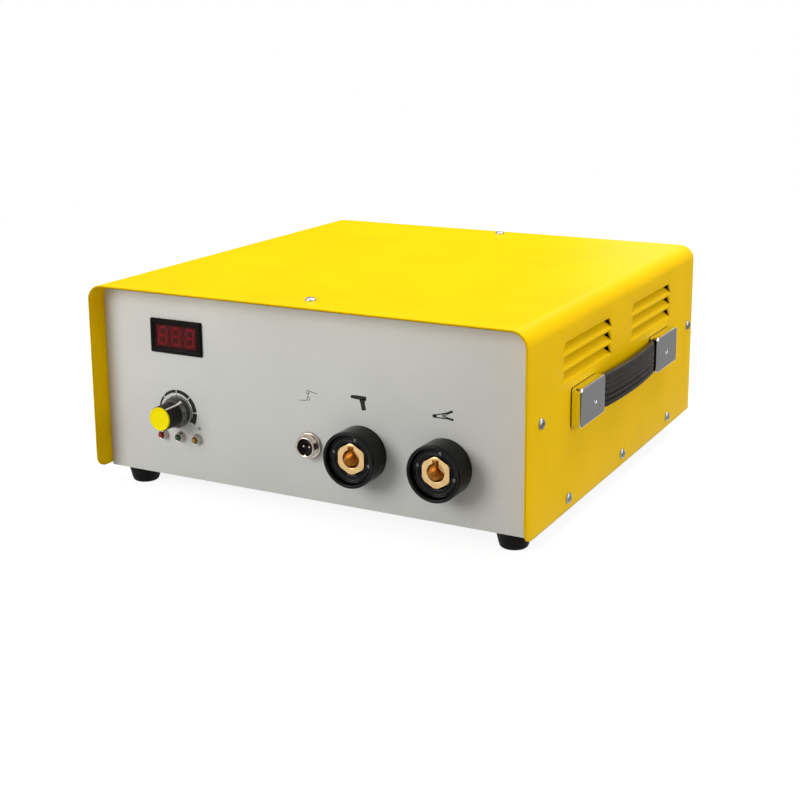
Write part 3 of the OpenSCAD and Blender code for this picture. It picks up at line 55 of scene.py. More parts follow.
def in_frame(x, y, z):
    """Points given in the case's own coordinates, moved to the shared frame, still in millimetres."""
    return np.stack(np.broadcast_arrays(x, y, z), -1) + TO_FRAME


def on_front(p, x, z):
    """Local points to the front panel: x stays, y goes up, z comes out towards -Y."""
    return in_frame(p[..., 0] + x, FRONT_Y - p[..., 2], p[..., 1] + z)


def on_rear(p, x, z):
    """Local points to the rear panel: x runs to -X, y goes up, z comes out towards +Y."""
    return in_frame(x - p[..., 0], REAR_Y + p[..., 2], p[..., 1] + z)


def on_right(p, y, z):
    """Local points to the right wall: x runs to +Y, y goes up, z comes out towards +X."""
    return in_frame(CASE_W / 2 + p[..., 2], p[..., 0] + y, p[..., 1] + z)


def on_left(p, y, z):
    """Local points to the left wall: x runs to -Y, y goes up, z comes out towards -X."""
    return in_frame(-CASE_W / 2 - p[..., 2], y - p[..., 0], p[..., 1] + z)


def on_top(p, x, y):
    """Local points to the cover's top: x and y stay, z comes out upwards."""
    return in_frame(p[..., 0] + x, p[..., 1] + y, p[..., 2] + CASE_H)


def on_floor(p, x, y):
    """Local points to the floor under the case: x and y stay, z goes up."""
    return in_frame(p[..., 0] + x, p[..., 1] + y, p[..., 2] - TO_FRAME[2])


def front_axis(x, z):
    """A point in metres on the axis that stands on the front panel at a place."""
    return (x + TO_FRAME[0]) * MM, 0, (z + TO_FRAME[2]) * MM


# Surfaces

def skin(grid, wrap=True, keep=None):
    """A grid of points as vertices and quads; wrap joins the last column to the first, keep masks quads."""
    rows, cols = grid.shape[:2]
    index = np.arange(rows * cols).reshape(rows, cols)
    right = np.roll(index, -1, axis=1) if wrap else index[:, 1:]
    left = index if wrap else index[:, :-1]
    quads = np.stack([left[:-1], right[:-1], right[1:], left[1:]], -1)
    quads = quads.reshape(-1, 4) if keep is None else quads[keep]
    return grid.reshape(-1, 3), quads


def soft_line(points, radius, steps=5):
    """A line whose inner corners are replaced by parabolas that leave each side at the given distance."""
    points = np.asarray(points, float)
    radius = np.broadcast_to(np.asarray(radius, float), len(points))
    t = np.linspace(0, 1, steps + 1)[:, None]
    out = [points[:1]]
    for before, corner, after, r in zip(points, points[1:], points[2:], radius[1:]):
        to_a, to_b = before - corner, after - corner
        a, b = np.linalg.norm(to_a), np.linalg.norm(to_b)
        d = min(r, 0.48 * min(a, b))
        p, q = corner + to_a / a * d, corner + to_b / b * d
        out.append((1 - t) ** 2 * p + 2 * t * (1 - t) * corner + t ** 2 * q)
    out.append(points[-1:])
    return np.concatenate(out)


def turned(profile, around=72, ripple=None):
    """A profile of radius and height spun round local z; ripple(angle, radius, height) adds to the radius."""
    profile = np.asarray(profile, float)
    angle = np.linspace(0, 2 * np.pi, around, endpoint=False)[None, :]
    r, z = profile[:, :1], profile[:, 1:]
    r = np.broadcast_to(r, (len(profile), around)).copy()
    z = np.broadcast_to(z, r.shape)
    if ripple is not None:
        r += ripple(angle, r, z)
    return np.stack([r * np.cos(angle), r * np.sin(angle), z], -1)


def round_rect(w, h, r, z, per_corner=8):
    """An outline with four quarter-circle corners at one height, anticlockwise."""
    a = np.linspace(0, np.pi / 2, per_corner)
    turn = np.repeat(np.arange(4) * np.pi / 2, per_corner) + np.tile(a, 4)
    cx = np.repeat([1, -1, -1, 1], per_corner) * (w / 2 - r)
    cy = np.repeat([1, 1, -1, -1], per_corner) * (h / 2 - r)
    return np.stack([cx + r * np.cos(turn), cy + r * np.sin(turn), np.full(turn.shape, z)], -1)


def polar_loop(radius, angle, z):
    """An outline from a radius for each angle, at one height."""
    return np.stack([radius * np.cos(angle), radius * np.sin(angle), np.broadcast_to(z, angle.shape)], -1)


def shut(loops):
    """Outlines one after another, shut at both ends by a point on local z."""
    loops = np.stack(loops)
    ends = loops[[0, -1]] * [0, 0, 1]
    return np.concatenate([ends[:1], loops, ends[1:]])


def wire(path, radius, around=10, closed=False):
    """A round wire: a circle carried along a path, square to it, upright to local z."""
    path = np.asarray(path, float)
    if closed:
        along = np.roll(path, -1, 0) - np.roll(path, 1, 0)
    else:
        along = np.gradient(path, axis=0)
    along /= np.linalg.norm(along, axis=1, keepdims=True)
    side = np.cross(along, [0, 0, 1.0])
    side /= np.linalg.norm(side, axis=1, keepdims=True)
    up = np.cross(side, along)
    a = np.linspace(0, 2 * np.pi, around, endpoint=False)[None, :, None]
    tube = path[:, None] + radius * (np.cos(a) * side[:, None] + np.sin(a) * up[:, None])
    if closed:
        return np.concatenate([tube, tube[:1]])
    ends = np.broadcast_to(path[[0, -1]][:, None], (2,) + tube.shape[1:])
    return np.concatenate([ends[:1], tube, ends[1:]])


# Pieces

def add_modifiers(obj, soften=0.0, sheet=0.0, segments=2, angle=35.0, weld=False, even=True):
    """Sheet thickness inwards, softened sharp edges, and normals weighted by face area."""
    if weld:
        m = obj.modifiers.new("weld", "WELD")
        m.merge_threshold = 2e-6
        m = obj.modifiers.new("flat", "DECIMATE")
        m.decimate_type = "DISSOLVE"
        m.angle_limit = math.radians(0.6)
    if sheet:
        m = obj.modifiers.new("sheet", "SOLIDIFY")
        m.thickness, m.offset, m.use_even_offset = sheet * MM, -1.0, even
    if soften:
        m = obj.modifiers.new("edges", "BEVEL")
        m.width, m.segments, m.limit_method = soften * MM, segments, "ANGLE"
        m.angle_limit = math.radians(angle)
    m = obj.modifiers.new("normals", "WEIGHTED_NORMAL")
    m.keep_sharp = True


def new_object(name, data):
    """An object linked to the scene."""
    obj = bpy.data.objects.new(name, data)
    scene.collection.objects.link(obj)
    return obj


def piece(name, skins, finish, slot, body="case", nodes=(), outward=None, **edges):
    """Joins skins in millimetres into one mesh, closes its seams, turns its faces outwards and rides it on a
    body. outward is a direction that most of an open sheet's area has to look along."""
    count, points, faces = 0, [], []
    for verts, quads in skins:
        points.append(verts)
        faces += (quads + count).tolist()
        count += len(verts)
    mesh = bpy.data.meshes.new(name)
    mesh.from_pydata((np.concatenate(points) * MM).tolist(), [], faces)
    bm = bmesh.new()
    bm.from_mesh(mesh)
    bmesh.ops.remove_doubles(bm, verts=bm.verts, dist=1e-7)
    bmesh.ops.dissolve_degenerate(bm, edges=bm.edges, dist=1e-8)
    bmesh.ops.recalc_face_normals(bm, faces=bm.faces)
    if outward is not None:
        bm.normal_update()
        facing = sum(f.normal.dot(outward) * f.calc_area() for f in bm.faces)
        if facing < 0:
            bmesh.ops.reverse_faces(bm, faces=bm.faces)
    bm.to_mesh(mesh)
    bm.free()
    mesh.polygons.foreach_set("use_smooth", np.ones(len(mesh.polygons), bool))
    obj = new_object(name, mesh)
    mesh.materials.append(finish)
    add_modifiers(obj, **edges)
    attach(obj, body)
    if nodes:
        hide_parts(*nodes)
    return obj


def front_piece(name, grid, x, z, finish, slot, **more):
    """One closed surface on the front panel, as a piece."""
    piece(name, [skin(on_front(grid, x, z))], finish, slot, **more)


def dress(node, finish, soften=0.0, segments=2):
    """A CAD node that stays: its finish, and softened edges where they are asked for."""
    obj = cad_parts[node]
    for slot in obj.material_slots:
        slot.material = finish
    obj.data.polygons.foreach_set("use_smooth", np.ones(len(obj.data.polygons), bool))
    if soften:
        add_modifiers(obj, soften, segments=segments, weld=True)


# Shader values

def srgb(r, g, b):
    """A colour written as screen values from 0 to 255, as linear light."""
    c = np.array([r, g, b]) / 255.0
    return tuple(np.where(c <= 0.04045, c / 12.92, ((c + 0.055) / 1.055) ** 2.4)) + (1.0,)


def grey(level):
    return level, level, level, 1.0


def shader_nodes(owner, *kinds):
    """The emptied node tree of a material or world, and new nodes of the given kinds in it."""
    owner.use_nodes = True
    tree = owner.node_tree
    tree.nodes.clear()
    return [tree] + [tree.nodes.new("ShaderNode" + kind) for kind in kinds]


def math_operator(operation, flipped=False):
    """An operator that adds one Math node, with its two inputs exchanged where it is flipped."""
    def apply(self, other):
        pair = (other, self) if flipped else (self, other)
        return self.finish.node("Math", {"operation": operation}, dict(enumerate(pair)))
    return apply


class Value:
    """A shader socket with arithmetic; each operator adds one Math node."""

    def __init__(self, finish, socket):
        self.finish, self.socket = finish, socket

    def sine(self):
        return self.finish.node("Math", {"operation": "SINE"}, {0: self})

    __add__ = __radd__ = math_operator("ADD")
    __mul__ = __rmul__ = math_operator("MULTIPLY")
    __sub__, __rsub__ = math_operator("SUBTRACT"), math_operator("SUBTRACT", flipped=True)
    __truediv__ = math_operator("DIVIDE")


class Finish:
    """One material on Object coordinates: node() adds any node, look() sets the shader's sockets."""

    def __init__(self, name):
        self.material = bpy.data.materials.new(name)
        self.tree, self.shader, surface = shader_nodes(self.material, "BsdfPrincipled", "OutputMaterial")
        self.tree.links.new(self.shader.outputs[0], surface.inputs[0])
        self.place = self.node("TexCoord", out="Object")

    def plug(self, socket, value):
        if isinstance(value, Value):
            self.tree.links.new(value.socket, socket)
        else:
            socket.default_value = value

    def node(self, kind, settings=None, inputs=None, out=0):
        n = self.tree.nodes.new("ShaderNode" + kind)
        for key, value in (settings or {}).items():
            setattr(n, key, value)
        for key, value in (inputs or {}).items():
            self.plug(n.inputs[key], value)
        return Value(self, n.outputs[out])

    def noise(self, size_mm, detail=2.0, stretch=(1, 1, 1)):
        """Noise whose lumps are about size_mm across, from 0 to 1; stretch lengthens them along an axis."""
        at = self.node("Mapping", None, {"Vector": self.place, "Scale": tuple(1 / s for s in stretch)})
        return self.node("TexNoise", None, {"Vector": at, "Scale": 1 / (size_mm * MM), "Detail": detail})

    def mix(self, factor, a, b):
        return self.node("Mix", {"data_type": "RGBA"}, {0: factor, 6: a, 7: b}, out=2)

    def ramp(self, value, *stops):
        """A grey ramp between two stops, each a place and a level."""
        made = self.node("ValToRGB", None, {0: value})
        for element, (at, level) in zip(made.socket.node.color_ramp.elements, stops):
            element.position, element.color = at, grey(level)
        return made

    def off_wall(self):
        """Distance out from the right wall, as a share of the handle's whole reach."""
        out = self.node("SeparateXYZ", None, {0: self.place}) - (CASE_W / 2 + TO_FRAME[0]) * MM
        return out / MM / HANDLE_REACH

    def radius_from(self, centre):
        """Distance in millimetres from an axis along Y through a point given in metres."""
        off = self.node("VectorMath", {"operation": "SUBTRACT"}, {0: self.place, 1: tuple(centre)})
        flat = self.node("VectorMath", {"operation": "MULTIPLY"}, {0: off, 1: (1 / MM, 0, 1 / MM)})
        return self.node("VectorMath", {"operation": "LENGTH"}, {0: flat}, out="Value")

    def bump(self, height, depth_mm):
        return self.node("Bump", None, {"Distance": depth_mm * MM, "Height": height})

    def look(self, **sockets):
        for name, value in sockets.items():
            self.plug(self.shader.inputs[name.replace("_", " ")], value)
        return self.material


HANDLE_REACH, CLOUD_GAIN = 8.0, 0.05


def tinted(colour, gain):
    return tuple(c * gain for c in colour[:3]) + (1.0,)


def powder_coat(name, colour, rough, peel, peel_depth, shine, tint):
    """Baked powder paint: fine orange peel, faint cloudiness and a few pin-point specks."""
    f = Finish(name)
    fine, cloud = f.noise(peel, 2.5), f.noise(70, 3)
    speck = f.ramp(f.noise(peel * 1.7, 0), (0.68, 0), (0.74, 1))
    pale, deep = tinted(colour, 1 + CLOUD_GAIN * 0.5), tinted(colour, 1 - CLOUD_GAIN)
    tone = f.mix(f.ramp(cloud, (0.3, 0), (0.7, 1)), deep, pale)
    return f.look(Base_Color=f.mix(speck * 0.16, tone, tinted(colour, 0.72)),
                  Roughness=rough + 0.16 * (fine - 0.5) + 0.05 * (cloud - 0.5),
                  Normal=f.bump(fine, peel_depth), Specular_IOR_Level=shine, Specular_Tint=tint)


def plated(name, colour, rough, grain=(1, 1, 1), grain_size=0.5, depth=0.004):
    """Plated metal: faint polishing grain and cloudy patches of gloss."""
    f = Finish(name)
    grainy, cloud = f.noise(grain_size, 3, grain), f.noise(6, 3)
    return f.look(Base_Color=f.mix(cloud, tinted(colour, 0.9), tinted(colour, 1.06)), Metallic=1.0,
                  Roughness=rough + 0.1 * (grainy - 0.5) + 0.08 * (cloud - 0.5), Normal=f.bump(grainy, depth))


def pressed_caps():
    """Bright plated sheet, duller along the line where it meets the wall, with painted shade darkening it
    there.
    """
    f = Finish("plated_caps")
    grainy, cloud = f.noise(0.35, 3, (0.4, 6, 0.4)), f.noise(6, 3)
    # painted shade: the colour turns dark brown near the wall, where the cap meets it
    unshaded = f.ramp(f.off_wall() + 0.03 * cloud, (0.08, 0), (0.17, 1))
    return f.look(Base_Color=f.mix(unshaded, srgb(58, 50, 34), srgb(228, 228, 230)), Metallic=1.0,
                  Roughness=0.42 - 0.32 * unshaded + 0.06 * (grainy - 0.5) + 0.04 * cloud,
                  Normal=f.bump(grainy, 0.002))


def sunk_screw():
    """Dull zinc with painted shade in its recess: the tone follows the height above the wall, dark low down.
    """
    f = Finish("sunk_screw_zinc")
    grainy = f.noise(0.5, 3)
    # painted shade: below a set height above the wall the colour goes dark, filling the cross recess
    unshaded = f.ramp(f.off_wall() + 0.02 * grainy, (0.74, 0), (0.81, 1))
    return f.look(Base_Color=f.mix(unshaded, srgb(34, 31, 27), srgb(214, 212, 204)), Metallic=0.3,
                  Roughness=0.4 + 0.1 * (grainy - 0.5), Normal=f.bump(grainy, 0.006))


def turned_metal(name, colour, centre, rough=0.2, pitch=0.42):
    """Lathe-turned metal: close rings round its axis, and slight tarnish in patches."""
    f = Finish(name)
    r = f.radius_from(centre) + 0.25 * f.noise(5, 2)
    rings = (r * (2 * math.pi / pitch)).sine()
    stain = f.ramp(f.noise(4, 4), (0.35, 0), (0.75, 1))
    return f.look(Base_Color=f.mix(stain, colour, tinted(colour, 0.78)), Metallic=1.0,
                  Roughness=rough + 0.05 * rings + 0.12 * stain, Normal=f.bump(rings, 0.006))


def moulded(name, colour, rough, grain=0.3, depth=0.01, pale=1.6, shine=0.22):
    """Moulded plastic or rubber: spark-eroded grain with paler rubbed patches."""
    f = Finish(name)
    fine, rub = f.noise(grain, 2), f.ramp(f.noise(11, 4), (0.45, 0), (0.8, 1))
    return f.look(Base_Color=f.mix(rub * 0.5, colour, tinted(colour, pale)),
                  Roughness=rough + 0.2 * (fine - 0.5) - 0.08 * rub, Normal=f.bump(fine, depth),
                  Specular_IOR_Level=shine)


def lens(name, core, edge, centre):
    """A tinted lamp lens with a polished coat: a pale core and a deep rim, painted glow and painted shade,
    and a faint painted glow as emission.
    """
    f = Finish(name)
    # painted light: the core colour is a paler painted glow, the rim colour deeper painted shade
    deep = f.ramp(f.radius_from(centre) / 2.6, (0.15, 0), (0.9, 1))
    # the emission in the core colour is a faint painted glow
    return f.look(Base_Color=f.mix(deep, core, edge), Roughness=0.12 + 0.1 * f.noise(0.8, 2), Coat_Weight=0.2,
                  Specular_IOR_Level=0.2, Emission_Color=core, Emission_Strength=0.06)


yellow_paint = powder_coat("yellow_powder_coat", srgb(249, 201, 3), 0.38, 0.9, 0.012, 0.03, (1, 0.8, 0.1, 1))
grey_paint = powder_coat("grey_powder_coat", srgb(202, 202, 198), 0.5, 0.45, 0.012, 0.25, grey(1))
chrome_caps = pressed_caps()
bright_plate = plated("bright_plate", srgb(180, 170, 160), 0.16)
zinc_plate = plated("zinc_plate", srgb(170, 174, 182), 0.34, depth=0.008)
sunk_zinc = sunk_screw()
dark_steel = plated("varnished_steel", srgb(96, 96, 100), 0.42, (8, 1, 1), 0.4)
black_moulding = moulded("black_moulding", srgb(20, 19, 18), 0.4)
bezel_moulding = moulded("bezel_moulding", srgb(10, 8, 7), 0.45, shine=0.06)
# the skirt's grey is paler than the knob's black: painted reflection for the grey sheen on its cone
skirt_moulding = moulded("skirt_moulding", srgb(62, 61, 58), 0.28, 0.25, 0.004, shine=0.5)
cup_floor = moulded("cup_floor", srgb(8, 5, 4), 0.12, 0.25, 0.002, shine=0.17)
rivet_steel = plated("rivet_steel", srgb(84, 84, 88), 0.42)
cup_moulding = moulded("cup_moulding", srgb(9, 8, 6), 0.24, 0.25, 0.003, shine=0.14)
knob_moulding = moulded("knob_moulding", srgb(15, 14, 13), 0.4, 0.22, shine=0.18)
black_rubber = moulded("black_rubber", srgb(13, 11, 10), 0.65, 0.5, 0.03, shine=0.1)
strap_rubber = moulded("strap_rubber", srgb(44, 39, 37), 0.46, 0.4, 0.02, 1.35, shine=0.35)
ink = moulded("black_ink", srgb(24, 24, 25), 0.6, 0.2, 0.002, 1.3)
white_line = moulded("white_line", srgb(232, 232, 228), 0.5, 0.2, 0.004, 1.02)
cap_yellow = moulded("yellow_moulding", srgb(244, 224, 2), 0.42, 0.3, 0.008, 1.03, shine=0.06)
copper_bar = plated("copper_bar", srgb(200, 128, 92), 0.32, (1, 8, 1), 0.3)
bright_alloy = plated("extruded_alloy", srgb(196, 196, 199), 0.38, (1, 10, 1), 0.4)
board_lacquer = moulded("board_lacquer", srgb(20, 92, 50), 0.35, 2.0, 0.02)
winding_tape = moulded("winding_tape", srgb(168, 104, 46), 0.55, 1.2, 0.05)
sleeve_blue = moulded("blue_sleeve", srgb(42, 62, 120), 0.3, 3.0, 0.01)
rocker_red = moulded("red_moulding", srgb(176, 24, 20), 0.3, 0.3, 0.006, 1.1)
display_back = moulded("display_back", srgb(100, 37, 40), 0.6, 0.25, 0.004, 1.2, shine=0.05)
digit_red = moulded("digit_red", srgb(236, 48, 56), 0.5, 0.25, 0.003, 1.1, shine=0.05)


def filter_glass():
    """The meter's tinted filter: see-through dark red with a polished face."""
    f = Finish("red_filter")
    return f.look(Base_Color=f.mix(f.noise(9, 2), srgb(70, 14, 16), srgb(84, 18, 20)), Alpha=0.4,
                  Roughness=0.12 + 0.06 * f.noise(3, 2), Specular_IOR_Level=0.15)


# Cover: one bent sheet with three pressed louvres in each of two groups on each side

LOUVRE_LOW, LOUVRE_TOP, LOUVRE_H, LOUVRE_PITCH, LOUVRE_Z = 101.0, 88.0, 9.0, 10.2, 94.3
LOUVRE_MID, LOUVRE_APART = 181.0, 71.0
LOUVRE_Y = (LOUVRE_MID - LOUVRE_APART, LOUVRE_MID + LOUVRE_APART)
LOUVRE_LINES = [LOUVRE_Z + k * LOUVRE_PITCH for k in range(3)]
LOUVRE_ANGLE, LOUVRE_BEND, LOUVRE_NIP = math.radians(45), 2.6, 0.006
LOUVRE_ACROSS = np.array([-LOUVRE_LOW, -LOUVRE_TOP, -60, -30, 0, 30, 60, LOUVRE_TOP, LOUVRE_LOW]) / 2
FRONT_COLUMNS, REAR_COLUMNS, WALL_ROWS = (0, 14, 24, 42), (320, 345, 358, CASE_D), (30, 55, 78)
CORNER_ROWS, BEND_ROWS, TOP_ROWS = 7, 15, 7


def over_the_top(half, sign=1):
    """Values along one half of the section, and back along the other, where they may change sign."""
    return np.concatenate([half, sign * half[-2::-1]])


def cover_grid():
    """The outer face as a grid: rows follow the section up a wall, round a bend, over the top and down again;
    columns run front to rear, and the first one bends back in a quarter circle at the wall's lower corner.
    The mask leaves out the quads inside a louvre."""
    cuts = [low + s * LOUVRE_H for low in LOUVRE_LINES for s in (0, 1)]
    corner = np.linspace(0, np.pi / 2, CORNER_ROWS)
    wall_z = np.concatenate([WALL_CORNER_R * corner / (np.pi / 2), WALL_ROWS, cuts, [CASE_H - BEND_R]])
    bend = np.linspace(0, np.pi / 2, BEND_ROWS)[1:]
    top_x = np.linspace(BEND_R - CASE_W / 2, 0, TOP_ROWS)[1:]
    arc_x, arc_z = -CASE_W / 2 + BEND_R * (1 - np.cos(bend)), CASE_H - BEND_R * (1 - np.sin(bend))
    half_x = np.concatenate([np.full(len(wall_z), -CASE_W / 2), arc_x, top_x])
    half_z = np.concatenate([wall_z, arc_z, np.full(len(top_x), CASE_H)])
    first_z, first_y = half_z.copy(), np.zeros(len(half_z))
    first_z[:CORNER_ROWS] = WALL_CORNER_R * (1 - np.cos(corner))
    first_y[:CORNER_ROWS] = WALL_CORNER_R * (1 - np.sin(corner))
    columns = np.concatenate([FRONT_COLUMNS, LOUVRE_Y[0] + LOUVRE_ACROSS, [LOUVRE_MID],
                              LOUVRE_Y[1] + LOUVRE_ACROSS, REAR_COLUMNS])
    x, z = over_the_top(half_x, -1), over_the_top(half_z)
    grid = np.stack(np.broadcast_arrays(x[:, None], columns, z[:, None]), -1)
    grid[:, 0, 1], grid[:, 0, 2] = over_the_top(first_y), over_the_top(first_z)
    mask = np.ones((len(x) - 1, len(columns) - 1), bool)
    middle = (z[1:] + z[:-1]) / 2
    on_wall = np.minimum(np.abs(x[1:]), np.abs(x[:-1])) > CASE_W / 2 - 1e-6
    group = len(FRONT_COLUMNS) + np.arange(len(LOUVRE_ACROSS) - 1)
    for low in LOUVRE_LINES:
        rows = on_wall & (middle > low) & (middle < low + LOUVRE_H)
        for next_group in (0, len(LOUVRE_ACROSS) + 1):
            mask[np.ix_(rows, group + next_group)] = False
    return grid, mask


def louvre_skins():
    """A tongue leaves the wall at each louvre's lower line, turns inwards on a small radius, then runs
    straight and narrows evenly; a triangle fills each slanted end."""
    curl = LOUVRE_BEND * LOUVRE_ANGLE
    run = np.concatenate([np.linspace(0, curl, 6), [4.0, 6.5, LOUVRE_H]])
    turn, past = np.minimum(run / LOUVRE_BEND, LOUVRE_ANGLE), np.maximum(run - curl, 0)
    depth = LOUVRE_BEND * (1 - np.cos(turn)) + past * math.sin(LOUVRE_ANGLE)
    rise = LOUVRE_BEND * np.sin(turn) + past * math.cos(LOUVRE_ANGLE)
    shrink = 1 - (1 - LOUVRE_TOP / LOUVRE_LOW) * run / LOUVRE_H - LOUVRE_NIP * np.minimum(run, 1)
    skins = []
    for side, mid, low in product((-1, 1), LOUVRE_Y, LOUVRE_LINES):
        tongue = in_frame(side * (CASE_W / 2 - depth)[:, None], mid + LOUVRE_ACROSS * shrink[:, None],
                          (low + rise)[:, None])
        skins.append(skin(tongue, wrap=False))
        for end in (-0.5, 0.5):
            y = mid + end * np.array([LOUVRE_LOW, LOUVRE_LOW, LOUVRE_TOP])
            filler = in_frame(side * CASE_W / 2, y, low + LOUVRE_H * np.array([0, 1, 1]))
            skins.append((filler, np.array([[0, 1, 2]])))
    return skins


cover_face, cover_mask = cover_grid()
piece("cover_sheet", [skin(cover_face + TO_FRAME, wrap=False, keep=cover_mask)] + louvre_skins(),
      yellow_paint, "yellow_paint", nodes=("cover",), outward=(0, 0, 1), sheet=SHEET, even=False)


# Screws

CROSS_LONG, CROSS_WIDE, CROSS_RIM = 0.62, 0.15, 1.06
DOME = [(1.0, 0.0), (1.0, 0.34), (0.9, 0.68), (0.62, 0.94), (0.3, 1.0)]


def screw_head(r, h, shank):
    """A shank, then a pan head: dome outlines from the rim inwards, the outline of a cross, its foot, and the
    middle. A cross's edge lies at the larger of two bars' edges along each angle."""
    angle = np.linspace(0, 2 * np.pi, 96, endpoint=False) + np.pi / 4
    c, s = np.abs(np.cos(angle)) + 1e-9, np.abs(np.sin(angle)) + 1e-9
    a, b = CROSS_LONG * r, CROSS_WIDE * r
    edge = np.maximum(np.minimum(a / c, b / s), np.minimum(b / c, a / s))
    foot = [(0, -shank), (0.5 * r, -shank), (0.5 * r, 0)]
    dome = soft_line([(p * r, q * h) for p, q in DOME], 0.3 * r, 4)
    cross = [(edge * CROSS_RIM, h * (1 - 0.1 * (edge / r) ** 2)), (edge, h * 0.93), (edge * 0.72, h * 0.36),
             (0, h * 0.26)]
    return np.stack([polar_loop(p, angle, q) for p, q in [*foot, *dome, *cross]])


def screws(name, places, r, h, shank, nodes, finish=zinc_plate):
    """The same head at each place; a place is a function with its two coordinates and a lift."""
    head = screw_head(r, h, shank)
    skins = [skin(put(head + [0, 0, lift], u, v)) for put, u, v, lift in places]
    piece(name, skins, finish, "zinc_steel", nodes=nodes)


END_SCREWS, ROW_SCREWS, WALLS = (23.5, CASE_D - 12.5), (76.0, 189.0, 302.0), (on_right, on_left)
SIDE_SCREW_Z, ROW_SCREW_Z, TOP_SCREW_X = 77.5, 9.0, 3.0
HANDLE_Y, HANDLE_Z, HANDLE_L = 187.0, 74.3, 219.0
CAP_SCREW, CAP_SCREW_LIFT = 27.5, 4.9
FAN_X, FAN_Z, FAN_HOLE, FAN_SCREW_LIFT = 70.0, 72.0, 35.68, 1.6
INLET_X, INLET_Z, INLET_HOLE, INLET_SCREW_LIFT = -134.0, 34.0, 20, 3.0

screws("cover_screw_set", [(put, y, SIDE_SCREW_Z, 0) for put, y in product(WALLS, END_SCREWS)]
       + [(on_top, TOP_SCREW_X, y, 0) for y in END_SCREWS]
       + [(put, y, ROW_SCREW_Z, 0) for put, y in product(WALLS, ROW_SCREWS)],
       r=4.0, h=2.2, shank=3.0, nodes=("cover_screws",))
screws("handle_screw_set", [(on_right, HANDLE_Y + s * (HANDLE_L / 2 - CAP_SCREW), HANDLE_Z, CAP_SCREW_LIFT)
                            for s in (-1, 1)],
       r=4.2, h=2.0, shank=4.0, nodes=("handle_screws",), finish=sunk_zinc)
screws("fan_screw_set", [(on_rear, FAN_X + a * FAN_HOLE, FAN_Z + b * FAN_HOLE, FAN_SCREW_LIFT)
                         for a, b in SIGNS],
       r=3.6, h=2.0, shank=4.0, nodes=("fan_screws",))
screws("inlet_screw_set", [(on_rear, INLET_X + a * INLET_HOLE, INLET_Z, INLET_SCREW_LIFT) for a in (-1, 1)],
       r=2.8, h=1.6, shank=3.0, nodes=("inlet_screws",))


# Feet

FOOT_PLACES = ((-158, 32), (158, 32), (-153, 333), (153, 333))


def feet():
    """A tapered foot with a rounded tip and a screw well, spun round its axis, at four places."""
    profile = soft_line([(0, 7.4), (4.6, 7.4), (4.6, 0.35), (5.2, 0), (8.6, 0), (9.9, 0.9), (10.7, 3.2),
                         (12.9, 12.4), (13.0, FOOT_H), (0, FOOT_H)],
                        [0, 0.3, 0.3, 0.3, 0.8, 1.2, 1.5, 0.4, 0.3, 0])
    skins = [skin(on_floor(turned(profile), x, y)) for x, y in FOOT_PLACES]
    piece("rubber_feet", skins, black_rubber, "black_rubber", nodes=("feet",))


feet()


# Panel meter

METER_X, METER_Z = -111.2, 107.6
BEZEL = ((46.5, 26.2, 1.0, -1.0), (46.5, 26.2, 1.0, 1.1), (46.1, 25.8, 0.9, 1.7), (45.3, 25.0, 0.8, 2.1),
         (44.6, 24.3, 0.8, 2.2), (41.6, 21.4, 0.6, 2.2), (41.2, 21.0, 0.6, 2.05), (37.9, 17.9, 0.4, 1.3),
         (37.6, 17.6, 0.4, 0.9), (37.6, 17.6, 0.4, -4.0), (40.7, 20.7, 0.5, -4.0), (40.7, 20.7, 0.5, -1.0))
PANE = ((37.2, 17.2, 0.3, 0.3), (37.4, 17.4, 0.3, 0.4), (37.4, 17.4, 0.3, 1.3), (37.2, 17.2, 0.3, 1.4))
CARRIER = ((37.2, 17.2, 0.2, -6.0), (37.2, 17.2, 0.2, -0.2))
DIGIT_H, DIGIT_W, DIGIT_PITCH, DIGIT_LEAN = 14.5, 8.9, 12.4, math.tan(math.radians(5))
BAR_W, BAR_GAP, BAR_FOOT, BAR_TOP = 1.9, 0.14, -0.3, 0.1
POINT_R, POINT_GAP, DIGIT_SHIFT = 0.7, 1.75, 0.7


def meter():
    """Bezel: round-cornered outlines from the panel outwards, over the rim, down past the filter and back.
    Filter and display carrier: flat slabs behind it."""
    bezel, pane, carrier = ([round_rect(*step) for step in steps] for steps in (BEZEL, PANE, CARRIER))
    front_piece("meter_bezel", np.stack(bezel + bezel[:1]), METER_X, METER_Z, bezel_moulding, "black_plastic",
                nodes=("meter_housing",))
    front_piece("meter_filter", shut(pane), METER_X, METER_Z, filter_glass(), "window_red",
                nodes=("meter_window",))
    front_piece("display_carrier", shut(carrier), METER_X, METER_Z, display_back, "digit_red",
                nodes=("meter_display",), soften=0.2)


def digit_bar(cx, cy, length, upright):
    """A bar with pointed ends as six corners, slanted to the right, at two heights, closed over and under."""
    l, t = length / 2 - BAR_GAP, BAR_W / 2
    corner = np.array([(-l, 0), (-l + t, t), (l - t, t), (l, 0), (l - t, -t), (-l + t, -t)])
    flat = (corner[:, ::-1] if upright else corner) + [cx, cy]
    flat[:, 0] += DIGIT_LEAN * flat[:, 1]
    middle = np.broadcast_to(flat.mean(0), flat.shape)
    levels = [(middle, BAR_FOOT), (flat, BAR_FOOT), (flat, BAR_TOP), (middle, BAR_TOP)]
    return np.stack([np.column_stack([p, np.full(len(p), z)]) for p, z in levels])


